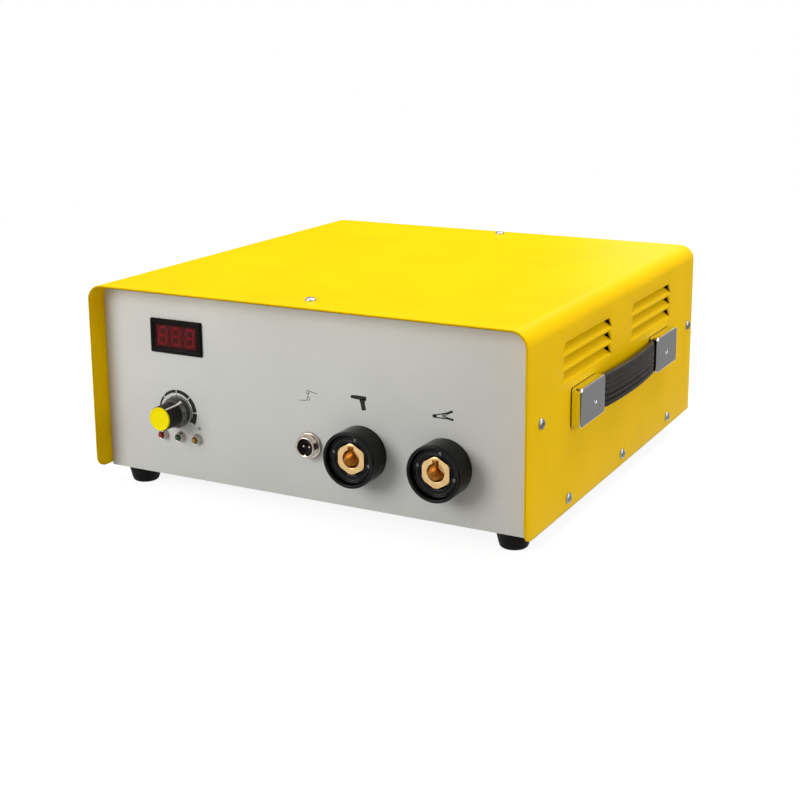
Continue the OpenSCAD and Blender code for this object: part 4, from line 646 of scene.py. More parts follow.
def display_digits():
    """Three digits of seven bars, each with a round point at its foot."""
    h, w = (DIGIT_H - BAR_W) / 2, (DIGIT_W - BAR_W) / 2
    bars = [(0, j * h, 2 * w, False) for j in (-1, 0, 1)] + [(a * w, b * h / 2, h, True) for a, b in SIGNS]
    point = turned([(0, BAR_FOOT), (POINT_R, BAR_FOOT), (POINT_R, BAR_TOP), (0, BAR_TOP)], 20)
    skins = []
    for i in (-1, 0, 1):
        at = METER_X + DIGIT_PITCH * i - DIGIT_SHIFT
        skins += [skin(on_front(digit_bar(*b), at, METER_Z)) for b in bars]
        skins.append(skin(on_front(point, at + w + POINT_GAP, METER_Z - h)))
    piece("display_digits", skins, digit_red, "digit_red")


meter()
display_digits()


# Dial: knob with its pointer line and cap, and the printed scale

DIAL_X, DIAL_Z, POINTER = -113.0, 49.5, math.radians(35)
FLUTES, FLUTE_DEEP = 36, 0.16
BODY_R, BODY_TAPER, BODY_FOOT, BODY_TOP = 9.75, 0.35 / 14.0, 7.7, 21.3
POINTER_LIFT, POINTER_SHEET = 0.1, 0.3


def flutes(angle, r, z):
    """Shallow dips round the knob's body, which fade out at both ends."""
    inside = np.clip((z - 9.2) / 1.2, 0, 1) * np.clip((20.8 - z) / 0.8, 0, 1) * (r > 8.5)
    return -FLUTE_DEEP * inside * (0.5 - 0.5 * np.cos(angle * FLUTES)) ** 2


def knob():
    """A body over a flared skirt, spun round the shaft; the pointer is a thin strip that follows the same
    profile at one angle; the cap is a dished disc."""
    flare = soft_line([(9.0, 7.6), (8.0, 7.4), (8.0, 0.5), (11.8, 0.5), (11.8, 4.7), (9.95, 7.85),
                       (9.0, 7.95), (9.0, 7.6)], [0, 0.1, 0.2, 0.3, 0.5, 0.3, 0.1, 0])
    front_piece("knob_skirt", turned(flare, 96), DIAL_X, DIAL_Z, skirt_moulding, "black_plastic", body="knob")
    rows = np.linspace(BODY_FOOT, BODY_TOP, 26)
    body = np.stack([BODY_R - BODY_TAPER * (rows - BODY_FOOT), rows], 1)
    crown = soft_line([(9.41, 21.5), (9.4, 21.95), (8.9, 22.0), (0, 22.0)], [0, 0.25, 0.2, 0])
    shell = turned(np.concatenate([[(0, 7.5), (9.6, 7.5)], body, crown]), 144, flutes)
    front_piece("knob_shell", shell, DIAL_X, DIAL_Z, knob_moulding, "black_plastic", body="knob",
                nodes=("knob_body",))
    line = soft_line([(11.75, 4.75), (10.0, 7.8), (9.87, 9.0), (9.45, 20.5), (9.42, 21.7)], 0.6, 4)
    half = np.interp(line[:, 1], [4.7, 7.5, 22.0], [0.95, 0.7, 0.6])[:, None]
    r = (line[:, 0] + POINTER_LIFT)[:, None]
    strip = polar_loop(r, np.pi / 2 - POINTER + np.linspace(-1, 1, 5) * half / r, line[:, 1:])
    piece("knob_pointer", [skin(on_front(strip, DIAL_X, DIAL_Z), wrap=False)], white_line, "cap_yellow",
          body="knob", outward=(math.sin(POINTER), 0, math.cos(POINTER)), sheet=POINTER_SHEET)
    cap = soft_line([(0, 20.2), (6.0, 20.2), (6.0, 21.95), (8.95, 21.95), (8.95, 23.1), (8.55, 23.5),
                     (7.9, 23.5), (7.4, 23.1), (0, 23.1)], [0, 0, 0, 0.2, 0.4, 0.3, 0.3, 0.3, 0])
    front_piece("knob_disc", turned(cap, 96), DIAL_X, DIAL_Z, cap_yellow, "cap_yellow", body="knob",
                nodes=("knob_cap",))


knob()

PRINT_LIFT, PRINT_DEEP = 0.05, 0.08
SCALE_ENDS = np.radians([-139, -94, -49, -4, 41, 86, 121])
SCALE_R, SECTOR_GAP, SECTOR_THIN, SECTOR_GROWTH = 17.3, 0.028, 0.4, 4.0
RING_INNER, RING_OUTER = (12.2, 12.2), (12.6, 12.9)
TICK_FOOT, TICK_TOP, TICK_HALF = 12.6, 13.6, 0.02
SCALE_X, SCALE_Z = DIAL_X + 0.2, DIAL_Z - 0.3
FIGURES, FIGURE_SIZE, FIGURE_WEIGHT = (("0", -18.6, -11.0), ("10", 18.8, -11.0)), 3.4, 0.07


def print_patch(inner, outer, start, end, count=40):
    """A flat band between two radii that change evenly with the angle; angles run clockwise from upright."""
    t = np.linspace(0, 1, count)
    radii = np.stack([inner[0] + (inner[1] - inner[0]) * t, outer[0] + (outer[1] - outer[0]) * t])
    a = np.broadcast_to(np.pi / 2 - (start + (end - start) * t), radii.shape)
    return polar_loop(radii, a, PRINT_LIFT)


def printed(name, skins):
    """Ink laid on the panel, a few hundredths thick."""
    piece(name, skins, ink, "black_plastic", outward=(0, -1, 0), sheet=PRINT_DEEP)


def scale_print():
    """Six sectors that thicken clockwise, and a ring round the knob with a tick at each sector's end."""
    first, last = SCALE_ENDS[0], SCALE_ENDS[-1]
    patches = []
    for a0, a1 in zip(SCALE_ENDS + SECTOR_GAP, SCALE_ENDS[1:] - SECTOR_GAP):
        thick = SECTOR_THIN + SECTOR_GROWTH * (np.array([a0, a1]) - first) / (last - first)
        patches.append(print_patch(SCALE_R - thick, (SCALE_R, SCALE_R), a0, a1))
    patches.append(print_patch(RING_INNER, RING_OUTER, first, last, 90))
    patches += [print_patch((TICK_FOOT, TICK_FOOT), (TICK_TOP, TICK_TOP), a - TICK_HALF, a + TICK_HALF, 3)
                for a in SCALE_ENDS]
    printed("scale_print", [skin(on_front(p, SCALE_X, SCALE_Z), wrap=False) for p in patches])


def scale_numbers():
    """Plain figures at the scale's two ends, as flat outlines filled in."""
    skins = []
    for text, u, v in FIGURES:
        curve = bpy.data.curves.new("scale_numbers", "FONT")
        curve.body, curve.size, curve.offset = text, FIGURE_SIZE, FIGURE_WEIGHT
        curve.align_x = curve.align_y = "CENTER"
        holder = bpy.data.objects.new("scale_numbers", curve)
        mesh = bpy.data.meshes.new_from_object(holder)
        mesh.calc_loop_triangles()
        points = np.zeros(len(mesh.vertices) * 3)
        mesh.vertices.foreach_get("co", points)
        faces = np.zeros(len(mesh.loop_triangles) * 3, int)
        mesh.loop_triangles.foreach_get("vertices", faces)
        flat = points.reshape(-1, 3) + [u, v, PRINT_LIFT]
        skins.append((on_front(flat, DIAL_X, DIAL_Z), faces.reshape(-1, 3)))
        bpy.data.objects.remove(holder)
        bpy.data.curves.remove(curve)
        bpy.data.meshes.remove(mesh)
    printed("scale_numbers", skins)


def flat_signs(name, bands):
    """Strokes on the panel: each is a line of points with a width, widened square to it, in panel
    millimetres."""
    skins = []
    for points, width in bands:
        p = np.asarray(points, float)
        along = np.gradient(p, axis=0)
        along /= np.linalg.norm(along, axis=1, keepdims=True)
        side = np.stack([-along[:, 1], along[:, 0]], 1)
        w = np.broadcast_to(np.asarray(width, float), len(p))[:, None] / 2
        edges = np.stack([p - side * w, p + side * w])
        flat = np.concatenate([edges, np.full(edges.shape[:2] + (1,), PRINT_LIFT)], -1)
        skins.append(skin(on_front(flat, 0, 0), wrap=False))
    printed(name, skins)


def arc(cx, cy, r, a0, a1, n=16):
    """Points on a circle between two angles in degrees."""
    a = np.radians(np.linspace(a0, a1, n))
    return np.stack([cx + r * np.cos(a), cy + r * np.sin(a)], 1)


SWITCH_SIGN = [([(-4.2, 72.3), (1.0, 72.6), (2.3, 73.4)], 0.38), (arc(3.3, 74.2, 1.15, 0, 360, 24), 0.36),
               (arc(3.0, 79.2, 1.15, 0, 360, 24), 0.36), ([(4.2, 79.5), (6.0, 79.7), (11.0, 78.6)], 0.38),
               ([(2.6, 75.2), (3.8, 78.3)], 0.36)]
GUN_SIGN = [([(38.3, 80.1), (39.6, 80.3), (43.0, 80.3), (51.0, 80.1)], (1.5, 2.4, 2.9, 3.0)),
            ([(47.6, 79.4), (48.1, 76.0), (49.0, 71.4)], (4.6, 3.5, 3.5))]
CLAMP_SIGN = [([(102.9, 74.5), (104.0, 74.7), (106.0, 75.2)], (1.4, 2.5, 1.6)),
              ([(104.0, 75.3), (110.4, 77.0), (114.2, 78.0), (118.2, 79.7)], (0.8, 0.8, 1.3, 1.7)),
              ([(104.0, 73.9), (110.4, 73.9), (114.2, 74.2), (118.8, 73.7)], (0.8, 0.8, 1.2, 1.6)),
              (arc(111.2, 75.6, 0.8, 0, 360, 20), 0.6), ([(112.0, 75.9), (116.6, 78.4)], 0.6),
              ([(112.0, 75.4), (116.8, 74.3)], 0.6)]

scale_print()
flat_signs("switch_sign", SWITCH_SIGN)
flat_signs("gun_sign", GUN_SIGN)
flat_signs("clamp_sign", CLAMP_SIGN)
scale_numbers()


# Lamps

LAMP_X, LAMP_Z, LAMP_PITCH, LENS_R, LENS_Z = -110.9, 30.2, 15.6, 2.45, 3.95
# Each lens: its name, its core colour with painted glow and its rim colour with painted shade
LENS_TINTS = (("red", srgb(158, 16, 20), srgb(70, 5, 8)), ("green", srgb(20, 84, 46), srgb(6, 34, 18)),
              ("amber", srgb(160, 122, 18), srgb(84, 58, 4)))


def lamps():
    """Holder: a plated rim that slopes up to a nose, spun round. Lens: a cylinder under a dome."""
    rim = soft_line([(2.55, -6), (3.4, -6), (3.4, -0.5), (4.0, -0.5), (4.0, 0.9), (3.8, 1.3), (3.35, 3.6),
                     (3.1, 4.2), (2.75, 4.15), (2.55, 3.6), (2.55, -6)],
                    [0, 0, 0, 0, 0.3, 0.4, 0.3, 0.3, 0.2, 0.2, 0])
    places = [LAMP_X + i * LAMP_PITCH for i in (-1, 0, 1)]
    piece("lamp_rims", [skin(on_front(turned(rim, 56), x, LAMP_Z)) for x in places], bright_plate, "chrome",
          nodes=("led_holders",))
    a = np.linspace(0, np.pi / 2, 14)
    dome = np.concatenate([[(0, -6), (LENS_R, -6)],
                           np.stack([LENS_R * np.cos(a), LENS_Z + LENS_R * np.sin(a)], 1)])
    for x, (tint, core, edge) in zip(places, LENS_TINTS):
        finish = lens("lens_" + tint, core, edge, front_axis(x, LAMP_Z))
        front_piece("lamp_lens_" + tint, turned(dome, 48), x, LAMP_Z, finish, "lens_" + tint,
                    nodes=("led_" + tint,))


lamps()


# Trigger socket

TRIGGER_X, TRIGGER_Z = 3.8, 39.6
THREAD_R, THREAD_FOOT, THREAD_TOP, THREAD_DEEP, KEY_HALF = 7.9, 2.3, 7.0, 0.42, 0.16


def thread(angle, r, z):
    """A ripple that climbs with the angle on the barrel, and one key rib at the foot of the bore."""
    climb = (z + angle / (2 * np.pi)) % 1.0
    on = (np.clip((z - THREAD_FOOT) / 0.5, 0, 1) * np.clip((THREAD_TOP - z) / 0.5, 0, 1)
          * (np.abs(r - THREAD_R) < 0.05))
    off_key = (angle + np.pi / 2 + np.pi) % (2 * np.pi) - np.pi
    key = (r < 6.5) * np.exp(-(off_key / KEY_HALF) ** 4) * (z > 0)
    return -THREAD_DEEP * on * np.abs(2 * climb - 1) - key


def trigger_shell():
    """A flange and a threaded barrel with a bore, spun round."""
    flange = soft_line([(6.9, -4), (6.9, -0.5), (9.7, -0.5), (9.7, 1.6), (9.2, 2.0), (8.0, 2.0), (7.9, 2.2)],
                       [0, 0, 0, 0.5, 0.4, 0.2, 0])
    rise = np.linspace(THREAD_FOOT, 6.9, 60)
    barrel = np.stack([np.full(len(rise), THREAD_R), rise], 1)
    mouth = soft_line([(7.9, 6.95), (7.3, 7.5), (6.7, 7.5), (6.3, 7.0), (6.3, 0.3), (6.3, -4), (6.9, -4)],
                      [0, 0.3, 0.3, 0.3, 0, 0, 0])
    shell = turned(np.concatenate([flange, barrel, mouth]), 120, thread)
    front_piece("trigger_barrel", shell, TRIGGER_X, TRIGGER_Z, bright_plate, "chrome",
                nodes=("trigger_socket_shell",))


trigger_shell()


# Output sockets

SOCKET_Z, SOCKETS = 39.4, (("gun", 46.3), ("clamp", 112.5))
CUP_RINGS, CUP_FLOOR_Z, BELL_H, BELL_W = (12.9, 15.9, 17.1), 14.4, 0.45, 0.38
BRASS, HEX_R, HEX_TURNED, BORE_R, KEY_W, KEY_TOP = srgb(210, 176, 124), 10.6, 11.7, 6.5, 2.3, 8.84
RIVET_RING, RIVET_TURNS = 14.4, np.radians([-14, 76, 166])


def socket_cup(name, x):
    """A round cup with a thin rim, spun round its axis, and in it a floor with three rings, each a narrow
    bell curve of the radius."""
    shell = soft_line([(12.8, -4), (12.8, -0.6), (20.5, -0.6), (20.5, 18.5), (19.8, 19.2), (18.4, 19.2),
                       (17.9, 18.7), (17.85, 13.5), (18.5, 12.5), (12.8, 8.0), (12.8, -4)],
                      [0, 0, 0.2, 0.6, 0.5, 0.5, 0.4, 0, 0, 0, 0])
    r = np.linspace(17.8, 11.9, 90)
    bells = sum(BELL_H * np.exp(-((r - at) / BELL_W) ** 2) for at in CUP_RINGS)
    waves = np.stack([r, CUP_FLOOR_Z + bells], 1)
    base = np.concatenate([[(11.8, 9.0), (17.8, 13.6)], waves, [(11.8, CUP_FLOOR_Z), (11.8, 9.0)]])
    front_piece(name + "_cup_shell", turned(shell, 144), x, SOCKET_Z, cup_moulding, "black_plastic",
                nodes=(name + "_socket_cup",))
    front_piece(name + "_cup_floor", turned(base, 144), x, SOCKET_Z, cup_floor, "black_plastic")


def socket_insert(name, x):
    """Outlines from the back outwards over the face and down the bore: the outside is a hexagon with its
    corners turned off, the bore's mouth a circle widened by a key slot, which ends on a ledge above the plain
    bore."""
    angle = np.linspace(0, 2 * np.pi, 240, endpoint=False)
    c, s = np.abs(np.cos(angle)), np.sin(angle)
    off = (angle + np.pi / 6) % (np.pi / 3) - np.pi / 6
    outer = np.minimum(HEX_TURNED, HEX_R / np.cos(off))
    slot_edge = np.minimum(KEY_W / np.maximum(c, 1e-6), KEY_TOP / np.maximum(s, 1e-6))
    keyed = np.where(s > 0, np.maximum(BORE_R, slot_edge), BORE_R)
    steps = [(0, -4.0), (outer, -4.0), (outer, 14.3), (np.minimum(outer, 11.45), 14.6),
             (np.minimum(outer - 0.12, 11.1), 14.85), (np.minimum(outer - 0.35, 10.9), 15.0),
             (keyed + 0.5, 15.0), (keyed + 0.15, 14.88), (keyed, 14.55), (keyed, 3.4),
             (keyed - 0.05 * (keyed - BORE_R), 3.2), (BORE_R, 3.2), (BORE_R, -1.6), (BORE_R * 0.86, -2.4),
             (0, -3.2)]
    grid = np.stack([polar_loop(r, angle, z) for r, z in steps])
    finish = turned_metal(name + "_brass", BRASS, front_axis(x, SOCKET_Z))
    front_piece(name + "_brass_insert", grid, x, SOCKET_Z, finish, "brass", nodes=(name + "_socket_brass",))


def rivets():
    """Low domes on each cup's floor, on one ring."""
    dome = soft_line([(0, 13.0), (1.4, 13.0), (1.4, 14.6), (1.25, 14.8), (0.8, 14.97), (0, 15.0)],
                     [0, 0, 0.1, 0.2, 0.2, 0])
    head = turned(dome, 28)
    skins = [skin(on_front(head, x + RIVET_RING * math.cos(turn), SOCKET_Z + RIVET_RING * math.sin(turn)))
             for (_, x), turn in product(SOCKETS, RIVET_TURNS)]
    piece("socket_rivet_heads", skins, rivet_steel, "zinc_steel", nodes=("socket_rivets",))


for socket_name, socket_x in SOCKETS:
    socket_cup(socket_name, socket_x)
    socket_insert(socket_name, socket_x)
rivets()


# Handle

STRAP_W, STRAP_T, STRAP_GAP, STRAP_BOW, STRAP_L = 25.0, 5.0, 2.0, 3.3, 119.4
STRAP_CROWN, STRAP_THIN, EDGE_POWER = 0.25, 0.55, 7
TONGUE_STEPS, THIN_FROM, THIN_OVER = 6, 9, 10
GROOVES = ((-8.3, 1.9, 0.7), (-4.1, 1.9, 0.7), (0.1, 1.2, 0.6), (4.2, 0.8, 0.5), (7.4, 0.4, 0.5))


def strap():
    """A round-edged band section with grooves along its outer face, carried along an arc of slight bow; it
    thins a little where it runs into each cap."""
    a = STRAP_W / 2 * np.sin(np.linspace(-np.pi / 2, np.pi / 2, 150))
    edge = np.clip(1 - (np.abs(a) / (STRAP_W / 2)) ** EDGE_POWER, 0, 1) ** (1 / EDGE_POWER)
    dip = sum(d * np.exp(-((a - at) / w) ** 2) for at, d, w in GROOVES)
    crown = STRAP_CROWN * (1 - (a / (STRAP_W / 2)) ** 2) - STRAP_CROWN
    outer = STRAP_T / 2 + (STRAP_T / 2 + crown - dip) * edge
    inner = STRAP_T / 2 - STRAP_T / 2 * edge
    across = np.concatenate([a, a[-2:0:-1]])
    thick = np.concatenate([outer, inner[-2:0:-1]])
    bow_r = (STRAP_L ** 2 / 4 + STRAP_BOW ** 2) / (2 * STRAP_BOW)
    half = math.asin(STRAP_L / 2 / bow_r)
    turn = np.linspace(-half, half, 60)
    path = np.stack([bow_r * np.sin(turn), STRAP_GAP + STRAP_BOW - bow_r + bow_r * np.cos(turn)], 1)
    lift = np.stack([np.sin(turn), np.cos(turn)], 1)
    reach = np.linspace(6.0, 1.0, TONGUE_STEPS)[:, None] * [[math.cos(half), 0.0]]
    path = np.concatenate([path[:1] - reach, path, path[-1:] + reach[::-1]])
    lift = np.pad(lift, ((TONGUE_STEPS, TONGUE_STEPS), (0, 0)), "edge")
    near = np.clip((np.abs(path[:, 0]) - STRAP_L / 2 + THIN_FROM) / THIN_OVER, 0, 1)
    thin = 1 - STRAP_THIN * near * near * (3 - 2 * near)
    along = path[:, None, :] + lift[:, None, :] * thick[None, :, None] * thin[:, None, None]
    grid = np.stack([along[..., 0], np.broadcast_to(across, along.shape[:2]), along[..., 1]], -1)
    ends = np.broadcast_to(grid.mean(1, keepdims=True)[[0, -1]], (2,) + grid.shape[1:])
    grid = np.concatenate([ends[:1], grid, ends[1:]])
    piece("ribbed_strap", [skin(on_right(grid, HANDLE_Y, HANDLE_Z))], strap_rubber, "black_rubber",
          nodes=("handle_strap",))


CAP_L, CAP_W, CAP_OUT, CAP_CORNER, CAP_EDGE, CAP_MOUTH = 49.0, 28.4, 8.4, 2.5, 1.5, 6.4
CAP_SLOPE, CAP_FALL, CAP_SHEET, CAP_HOLE, HOLE_EDGE, HOLE_DEPTHS = 7.0, 0.5, 1.3, 2.6, 0.35, (0.3, 2.6)
FACE_STEPS, EDGE_POINTS = (0.06, 0.2, 0.4, 0.6, 0.8, 0.94, 0.985, 1.0), 9


def with_edge_points(loop):
    """A round-cornered outline with evenly spaced points added along its four straight edges."""
    corners = np.split(loop, 4)
    share = np.linspace(0, 1, EDGE_POINTS + 2)[1:-1, None]
    edges = [a[-1] + (b[0] - a[-1]) * share for a, b in zip(corners, corners[1:] + corners[:1])]
    return np.concatenate([part for pair in zip(corners, edges) for part in pair])


def handle_cap(name, node, end):
    """A pressed cap as round-cornered outlines: up its sides, round its edge, over its face and into the
    screw's hole; the lowest quads at the strap's end are left out for its mouth, the face falls gently there,
    and the sheet is thickened inwards."""
    side = round_rect(CAP_L, CAP_W, CAP_CORNER, 0.0)
    outlines = [side + [0, 0, z] for z in (0, CAP_MOUTH, CAP_OUT - CAP_EDGE)]
    for t in np.linspace(0, np.pi / 2, 7)[1:]:
        inset = CAP_EDGE * (1 - np.cos(t))
        outlines.append(round_rect(CAP_L - 2 * inset, CAP_W - 2 * inset, CAP_CORNER - inset,
                                   CAP_OUT - CAP_EDGE * (1 - np.sin(t))))
    outlines = [with_edge_points(loop) for loop in outlines]
    rim = outlines[-1]
    hole = np.array([CAP_SCREW - CAP_L / 2, 0, CAP_OUT])
    angle = np.arctan2(rim[:, 1] - hole[1], rim[:, 0] - hole[0])
    ring, soft = (hole + polar_loop(r, angle, 0) for r in (CAP_HOLE, CAP_HOLE + HOLE_EDGE))
    outlines += [rim + (soft - rim) * t for t in FACE_STEPS] + [ring - [0, 0, z] for z in HOLE_DEPTHS]
    grid = np.stack(outlines)
    fall = CAP_FALL * np.clip((grid[..., 0] - CAP_L / 2 + CAP_SLOPE) / CAP_SLOPE, 0, 1)
    grid[..., 2] -= fall * (grid[..., 2] > CAP_MOUTH)
    mask = np.ones((len(outlines) - 1, grid.shape[1]), bool)
    mask[0, np.arange(-3 - EDGE_POINTS, 2)] = False
    grid[..., 0] += CAP_L / 2 - HANDLE_L / 2
    grid[..., :2] *= end
    piece(name, [skin(on_right(grid, HANDLE_Y, HANDLE_Z), keep=mask)], chrome_caps, "chrome", nodes=(node,),
          outward=(1, 0, 0), sheet=CAP_SHEET)


strap()
handle_cap("cap_front", "handle_cap_front", 1)
handle_cap("cap_rear", "handle_cap_rear", -1)


# Rear: fan guard and rotor, and the switch's rocker

GUARD_RINGS, GUARD_WIRE, GUARD_EYE, GUARD_ARM = (8.3, 17.8, 27.3, 36.8), 0.8, 3.1, 33.6
BLADES, BLADE_ROOT, BLADE_TIP, BLADE_HALF, BLADE_Z = 7, 15.4, 36.3, 0.6, -14.5
BLADE_LEAN, BLADE_TWIST, BLADE_W, BLADE_FLARE, BLADE_CUP, BLADE_RUN = 44, 14, 9.4, 0.8, 1.6, 21


def guard():
    """Four wire rings and two crossed wires, with an eye round each screw."""
    turn = np.linspace(0, 2 * np.pi, 96, endpoint=False)
    wires = [wire(polar_loop(r, turn, GUARD_WIRE), GUARD_WIRE, closed=True) for r in GUARD_RINGS]
    eye = polar_loop(GUARD_EYE, turn[::4], GUARD_WIRE)
    wires += [wire(eye + [a * FAN_HOLE, b * FAN_HOLE, 0], GUARD_WIRE, closed=True) for a, b in SIGNS]
    reach = np.linspace(-GUARD_ARM, GUARD_ARM, 12)
    wires += [wire(np.stack([reach, a * reach, np.full(12, GUARD_WIRE)], 1), GUARD_WIRE) for a in (-1, 1)]
    piece("guard_wires", [skin(on_rear(w, FAN_X, FAN_Z)) for w in wires], bright_plate, "chrome",
          nodes=("fan_guard",))


def rotor():
    """A hub with a rounded rim, spun round, and seven blades: each a sheet whose chord leans and cups along
    its span."""
    hub = soft_line([(1.6, -23), (16, -23), (16, -6.8), (15.2, -6.0), (5.5, -6.0), (5.0, -6.4), (0, -6.4)],
                    [0, 0.4, 0.6, 0.8, 0.3, 0.3, 0])
    hub = np.concatenate([[(0, -12), (1.6, -12)], hub])
    span = np.linspace(BLADE_ROOT, BLADE_TIP, 14)[:, None]
    chord = np.linspace(-1, 1, 15)[None, :]
    lean = np.radians(BLADE_LEAN - BLADE_TWIST * (span - BLADE_ROOT) / BLADE_RUN)
    width = BLADE_W + BLADE_FLARE * (span - BLADE_ROOT) / BLADE_RUN
    cup = BLADE_CUP * (1 - chord ** 2)
    u = width * chord * np.cos(lean) + cup * np.sin(lean)
    z = BLADE_Z + width * chord * np.sin(lean) - cup * np.cos(lean)
    parts = [turned(hub, 72)]
    for i in range(BLADES):
        a = u / span + 2 * np.pi * i / BLADES
        under, over = (polar_loop(span, a, z + side) for side in (BLADE_HALF, -BLADE_HALF))
        rim = np.concatenate([over, under[:, ::-1]], 1)
        root, tip = (np.broadcast_to(rim[end].mean(0), rim[end].shape) for end in (0, -1))
        parts += [np.stack([root, rim[0]]), rim, np.stack([rim[-1], tip])]
    piece("fan_impeller", [skin(on_rear(part, FAN_X, FAN_Z)) for part in parts], black_moulding,
          "black_plastic", body="fan", nodes=("fan_rotor",))


guard()
rotor()

dress("switch_rocker", rocker_red, 0.5, 3)
SWITCH_X, SWITCH_Z, ROCKER_MID, ROCKER_RISE = -140.0, 76.0, 3.48, 0.1657
ROCKER_TILT, ROCKER_PIVOT = math.radians(10), 1.0
MARK_HALF, MARK_FOOT, MARK_TOP, MARK_RING, RING_DROP = 0.55, 3.2, 7.4, (1.5, 2.4), 5.6


def rocker_marks():
    """A bar and a ring laid on the rocker's two faces, which rise evenly from its middle, tilted with it as
    it rests."""
    u, v = np.meshgrid([-MARK_HALF, MARK_HALF], np.linspace(MARK_FOOT, MARK_TOP, 4))
    turn = np.linspace(0, 2 * np.pi, 48, endpoint=False)[None, :]
    r = np.array(MARK_RING)[:, None]
    skins = []
    for across, up, wrap in ((u, v, False), (r * np.cos(turn), r * np.sin(turn) - RING_DROP, True)):
        out = ROCKER_MID + ROCKER_RISE * np.abs(up) + PRINT_LIFT
        tilted = np.stack([across, up * math.cos(ROCKER_TILT) - out * math.sin(ROCKER_TILT),
                           up * math.sin(ROCKER_TILT) + out * math.cos(ROCKER_TILT) - ROCKER_PIVOT], -1)
        skins.append(skin(on_rear(tilted, SWITCH_X, SWITCH_Z), wrap=wrap))
    piece("rocker_marks", skins, white_line, "cap_yellow", body="rocker", outward=(0, 1, 0), sheet=PRINT_DEEP)


rocker_marks()


# Other nodes keep their solids: each finish with the width of its softened edges, and its nodes

KEPT = ((grey_paint, 0.3, "base_tray"), (grey_paint, 0.45, "front_panel rear_panel"),
        (black_moulding, 0.15, "trigger_socket_insert"), (black_moulding, 0.5, "switch_frame"),
        (black_moulding, 0.4, "mains_inlet fan_frame"), (bright_plate, 0.3, "mains_blades"),
        (bright_plate, 0, "trigger_socket_pins board_standoffs"),
        (zinc_plate, 0.25, "dial_nut earth_stud earth_nut foot_screws handle_nuts"),
        (zinc_plate, 0.25, "trigger_socket_nut gun_socket_nuts clamp_socket_nuts"),
        (dark_steel, 0.25, "dial_potentiometer transformer_core transformer_bracket"),
        (black_moulding, 0.25, "rectifier_bridge thyristor capacitor_tray"),
        (bright_alloy, 0.25, "heat_sink"),
        (copper_bar, 0.25, "bus_bar_positive bus_bar_negative bus_bar_gun"),
        (zinc_plate, 0, "dial_shaft terminal_screws"), (sleeve_blue, 0, "capacitor_cans"),
        (winding_tape, 0, "transformer_coil"), (board_lacquer, 0, "control_board"))
for kept_finish, kept_soften, kept_nodes in KEPT:
    for kept_node in kept_nodes.split():
        dress(kept_node, kept_finish, kept_soften)


# Floor, light and camera, in metres

WORLD_FILL, FILL_TINT = 0.34, (1, 0.99, 0.975, 1)
FLOOR_R, FLOOR_SIDES, FLOOR_Z = 1.5, 96, -0.0002
FLOOR_MATT, FLOOR_FAINT, FLOOR_GLOW = 0.42, 0.22, 0.88
LAMPS = (("key_lamp", (-0.55, -1.05, 0.5), 0.7, 8.0), ("top_lamp", (0.1, 0.6, 1.6), 1.5, 30.0),
         ("side_lamp", (1.8, 0.0, 0.8), 1.0, 11.0))
LAMP_AIM = (0, 0, 0.08)
CARDS = (("right_card", (0.2, -1.6, 0.001), (2.6, 2.6, 0.001), 0.25),
         ("front_card", (0.12, -1.3, 0.002), (0.75, -0.34, 0.002), 0.01),
         ("back_card", (-2.2, 1.6, 0.001), (-0.42, 1.6, 1.2), 0.03),
         ("corner_card", (0.3, 1.6, 0.001), (2.6, 1.6, 1.2), 0.3))
CAMERA_AT = (0.51930, -0.99885, 0.36697)
CAMERA_TURN, CAMERA_RISE, CAMERA_ROLL = np.radians([28.0175, 12.6196, -0.4119])
CAMERA_SENSOR, CAMERA_LENS, CAMERA_SHIFT = 36.0, 64.018, -0.10


def light_path(tree):
    """1 where a ray comes from the camera, a mirror or a clear piece, and 0 for light on the object."""
    path = tree.nodes.new("ShaderNodeLightPath")
    total = path.outputs["Is Camera Ray"]
    for name in ("Is Glossy Ray", "Is Transmission Ray"):
        most = tree.nodes.new("ShaderNodeMath")
        most.operation = "MAXIMUM"
        tree.links.new(total, most.inputs[0])
        tree.links.new(path.outputs[name], most.inputs[1])
        total = most.outputs[0]
    return total


def seen_or_lit(tree, lit, seen, surface):
    """Shows one shader to the camera, mirrors and clear pieces, and lights the object by the other."""
    mix = tree.nodes.new("ShaderNodeMixShader")
    for i, source in enumerate((light_path(tree), lit.outputs[0], seen.outputs[0])):
        tree.links.new(source, mix.inputs[i])
    tree.links.new(mix.outputs[0], surface.inputs[0])


def flat_stage(name, corners, mat):
    """One flat face of the studio."""
    mesh = bpy.data.meshes.new(name)
    mesh.from_pydata(corners, [], [list(range(len(corners)))])
    mesh.materials.append(mat)
    return new_object(name, mesh)


def turn_to(obj, at, right, up, back):
    """Puts an object at a place, with its three axes."""
    axes = np.stack([right, up, back], 1)
    obj.matrix_world = Matrix([list(row) + [a] for row, a in zip(axes, at)] + [[0, 0, 0, 1]])


def surround():
    """A world that looks white and gives a weak, slightly warm fill."""
    scene.world = bpy.data.worlds.new("studio")
    tree, seen, fill, surface = shader_nodes(scene.world, "Background", "Background", "OutputWorld")
    for shader, colour, level in ((seen, grey(1), 1.0), (fill, FILL_TINT, WORLD_FILL)):
        shader.inputs[0].default_value, shader.inputs[1].default_value = colour, level
    seen_or_lit(tree, fill, seen, surface)


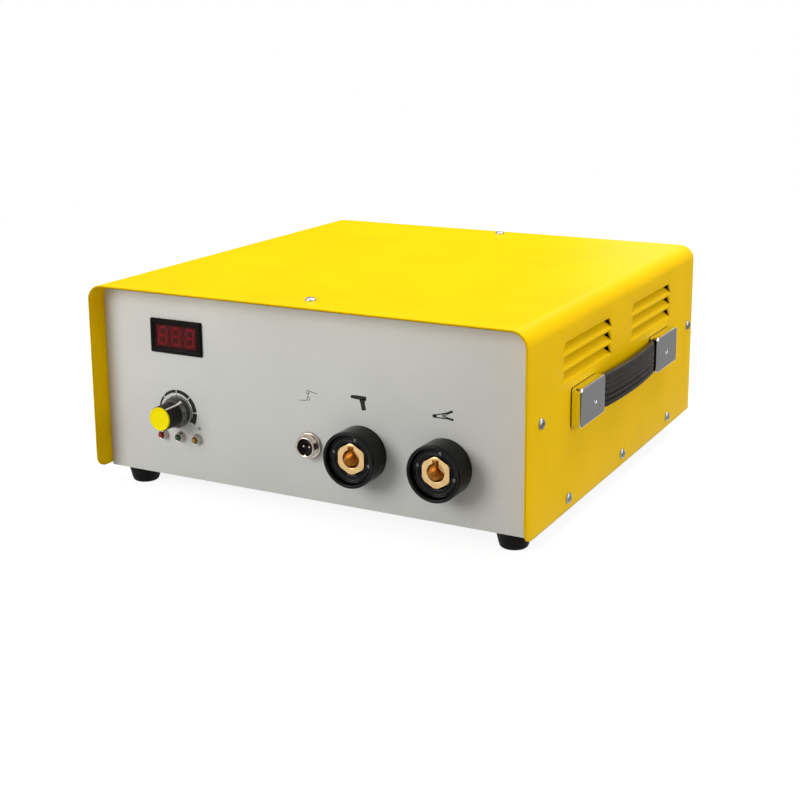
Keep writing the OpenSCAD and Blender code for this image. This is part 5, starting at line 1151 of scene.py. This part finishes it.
def pale_floor():
    """A round floor that looks nearly white by itself and adds a little of the light on it, so that it keeps
    the shadow."""
    mat = bpy.data.materials.new("pale_floor")
    tree, matt, faint, glow, add, surface = shader_nodes(mat, "BsdfDiffuse", "BsdfDiffuse", "Emission",
                                                         "AddShader", "OutputMaterial")
    matt.inputs[0].default_value, faint.inputs[0].default_value = grey(FLOOR_MATT), grey(FLOOR_FAINT)
    glow.inputs[1].default_value = FLOOR_GLOW
    tree.links.new(faint.outputs[0], add.inputs[0])
    tree.links.new(glow.outputs[0], add.inputs[1])
    seen_or_lit(tree, matt, add, surface)
    rim = polar_loop(FLOOR_R, np.linspace(0, 2 * np.pi, FLOOR_SIDES, endpoint=False), FLOOR_Z)
    floor = flat_stage("floor", rim.tolist(), mat)


def mirror_cards():
    """Grey cards that only mirrors see: two lie on the floor, and two stand behind the case."""
    for name, (x0, y0, z0), (x1, y1, z1), level in CARDS:
        mat = bpy.data.materials.new(name)
        tree, glow, surface = shader_nodes(mat, "Emission", "OutputMaterial")
        glow.inputs[0].default_value, glow.inputs[1].default_value = grey(level), 1.0
        tree.links.new(glow.outputs[0], surface.inputs[0])
        card = flat_stage(name, [(x0, y0, z0), (x1, y0, z0), (x1, y1, z1), (x0, y1, z1)], mat)
        card.visible_camera = card.visible_diffuse = card.visible_shadow = card.visible_transmission = False


def studio_lamps():
    """Three round lamps aimed at the case: above left in front, high behind, and at the right."""
    for name, at, size, power in LAMPS:
        lamp = bpy.data.lights.new(name, "AREA")
        lamp.shape, lamp.size, lamp.energy = "DISK", size, power
        back = np.subtract(at, LAMP_AIM)
        back /= np.linalg.norm(back)
        side = np.cross([0, 0, 1], back)
        side /= np.linalg.norm(side)
        turn_to(new_object(name, lamp), at, side, np.cross(back, side), back)


def camera():
    """A view from the front right, a little above, with the frame shifted down."""
    sa, ca, se, ce = np.sin(CAMERA_TURN), np.cos(CAMERA_TURN), np.sin(CAMERA_RISE), np.cos(CAMERA_RISE)
    back = np.array([sa * ce, -ca * ce, se])
    right, up = np.array([ca, sa, 0]), np.array([-sa * se, ca * se, ce])
    c, s = np.cos(CAMERA_ROLL), np.sin(CAMERA_ROLL)
    data = bpy.data.cameras.new("camera")
    data.sensor_width, data.lens, data.shift_y = CAMERA_SENSOR, CAMERA_LENS, CAMERA_SHIFT
    data.clip_start, data.clip_end = 0.01, 60.0
    scene.camera = new_object("camera", data)
    turn_to(scene.camera, CAMERA_AT, c * right + s * up, c * up - s * right, back)


surround()
pale_floor()
mirror_cards()
studio_lamps()
camera()
scene.view_settings.view_transform = "Standard"
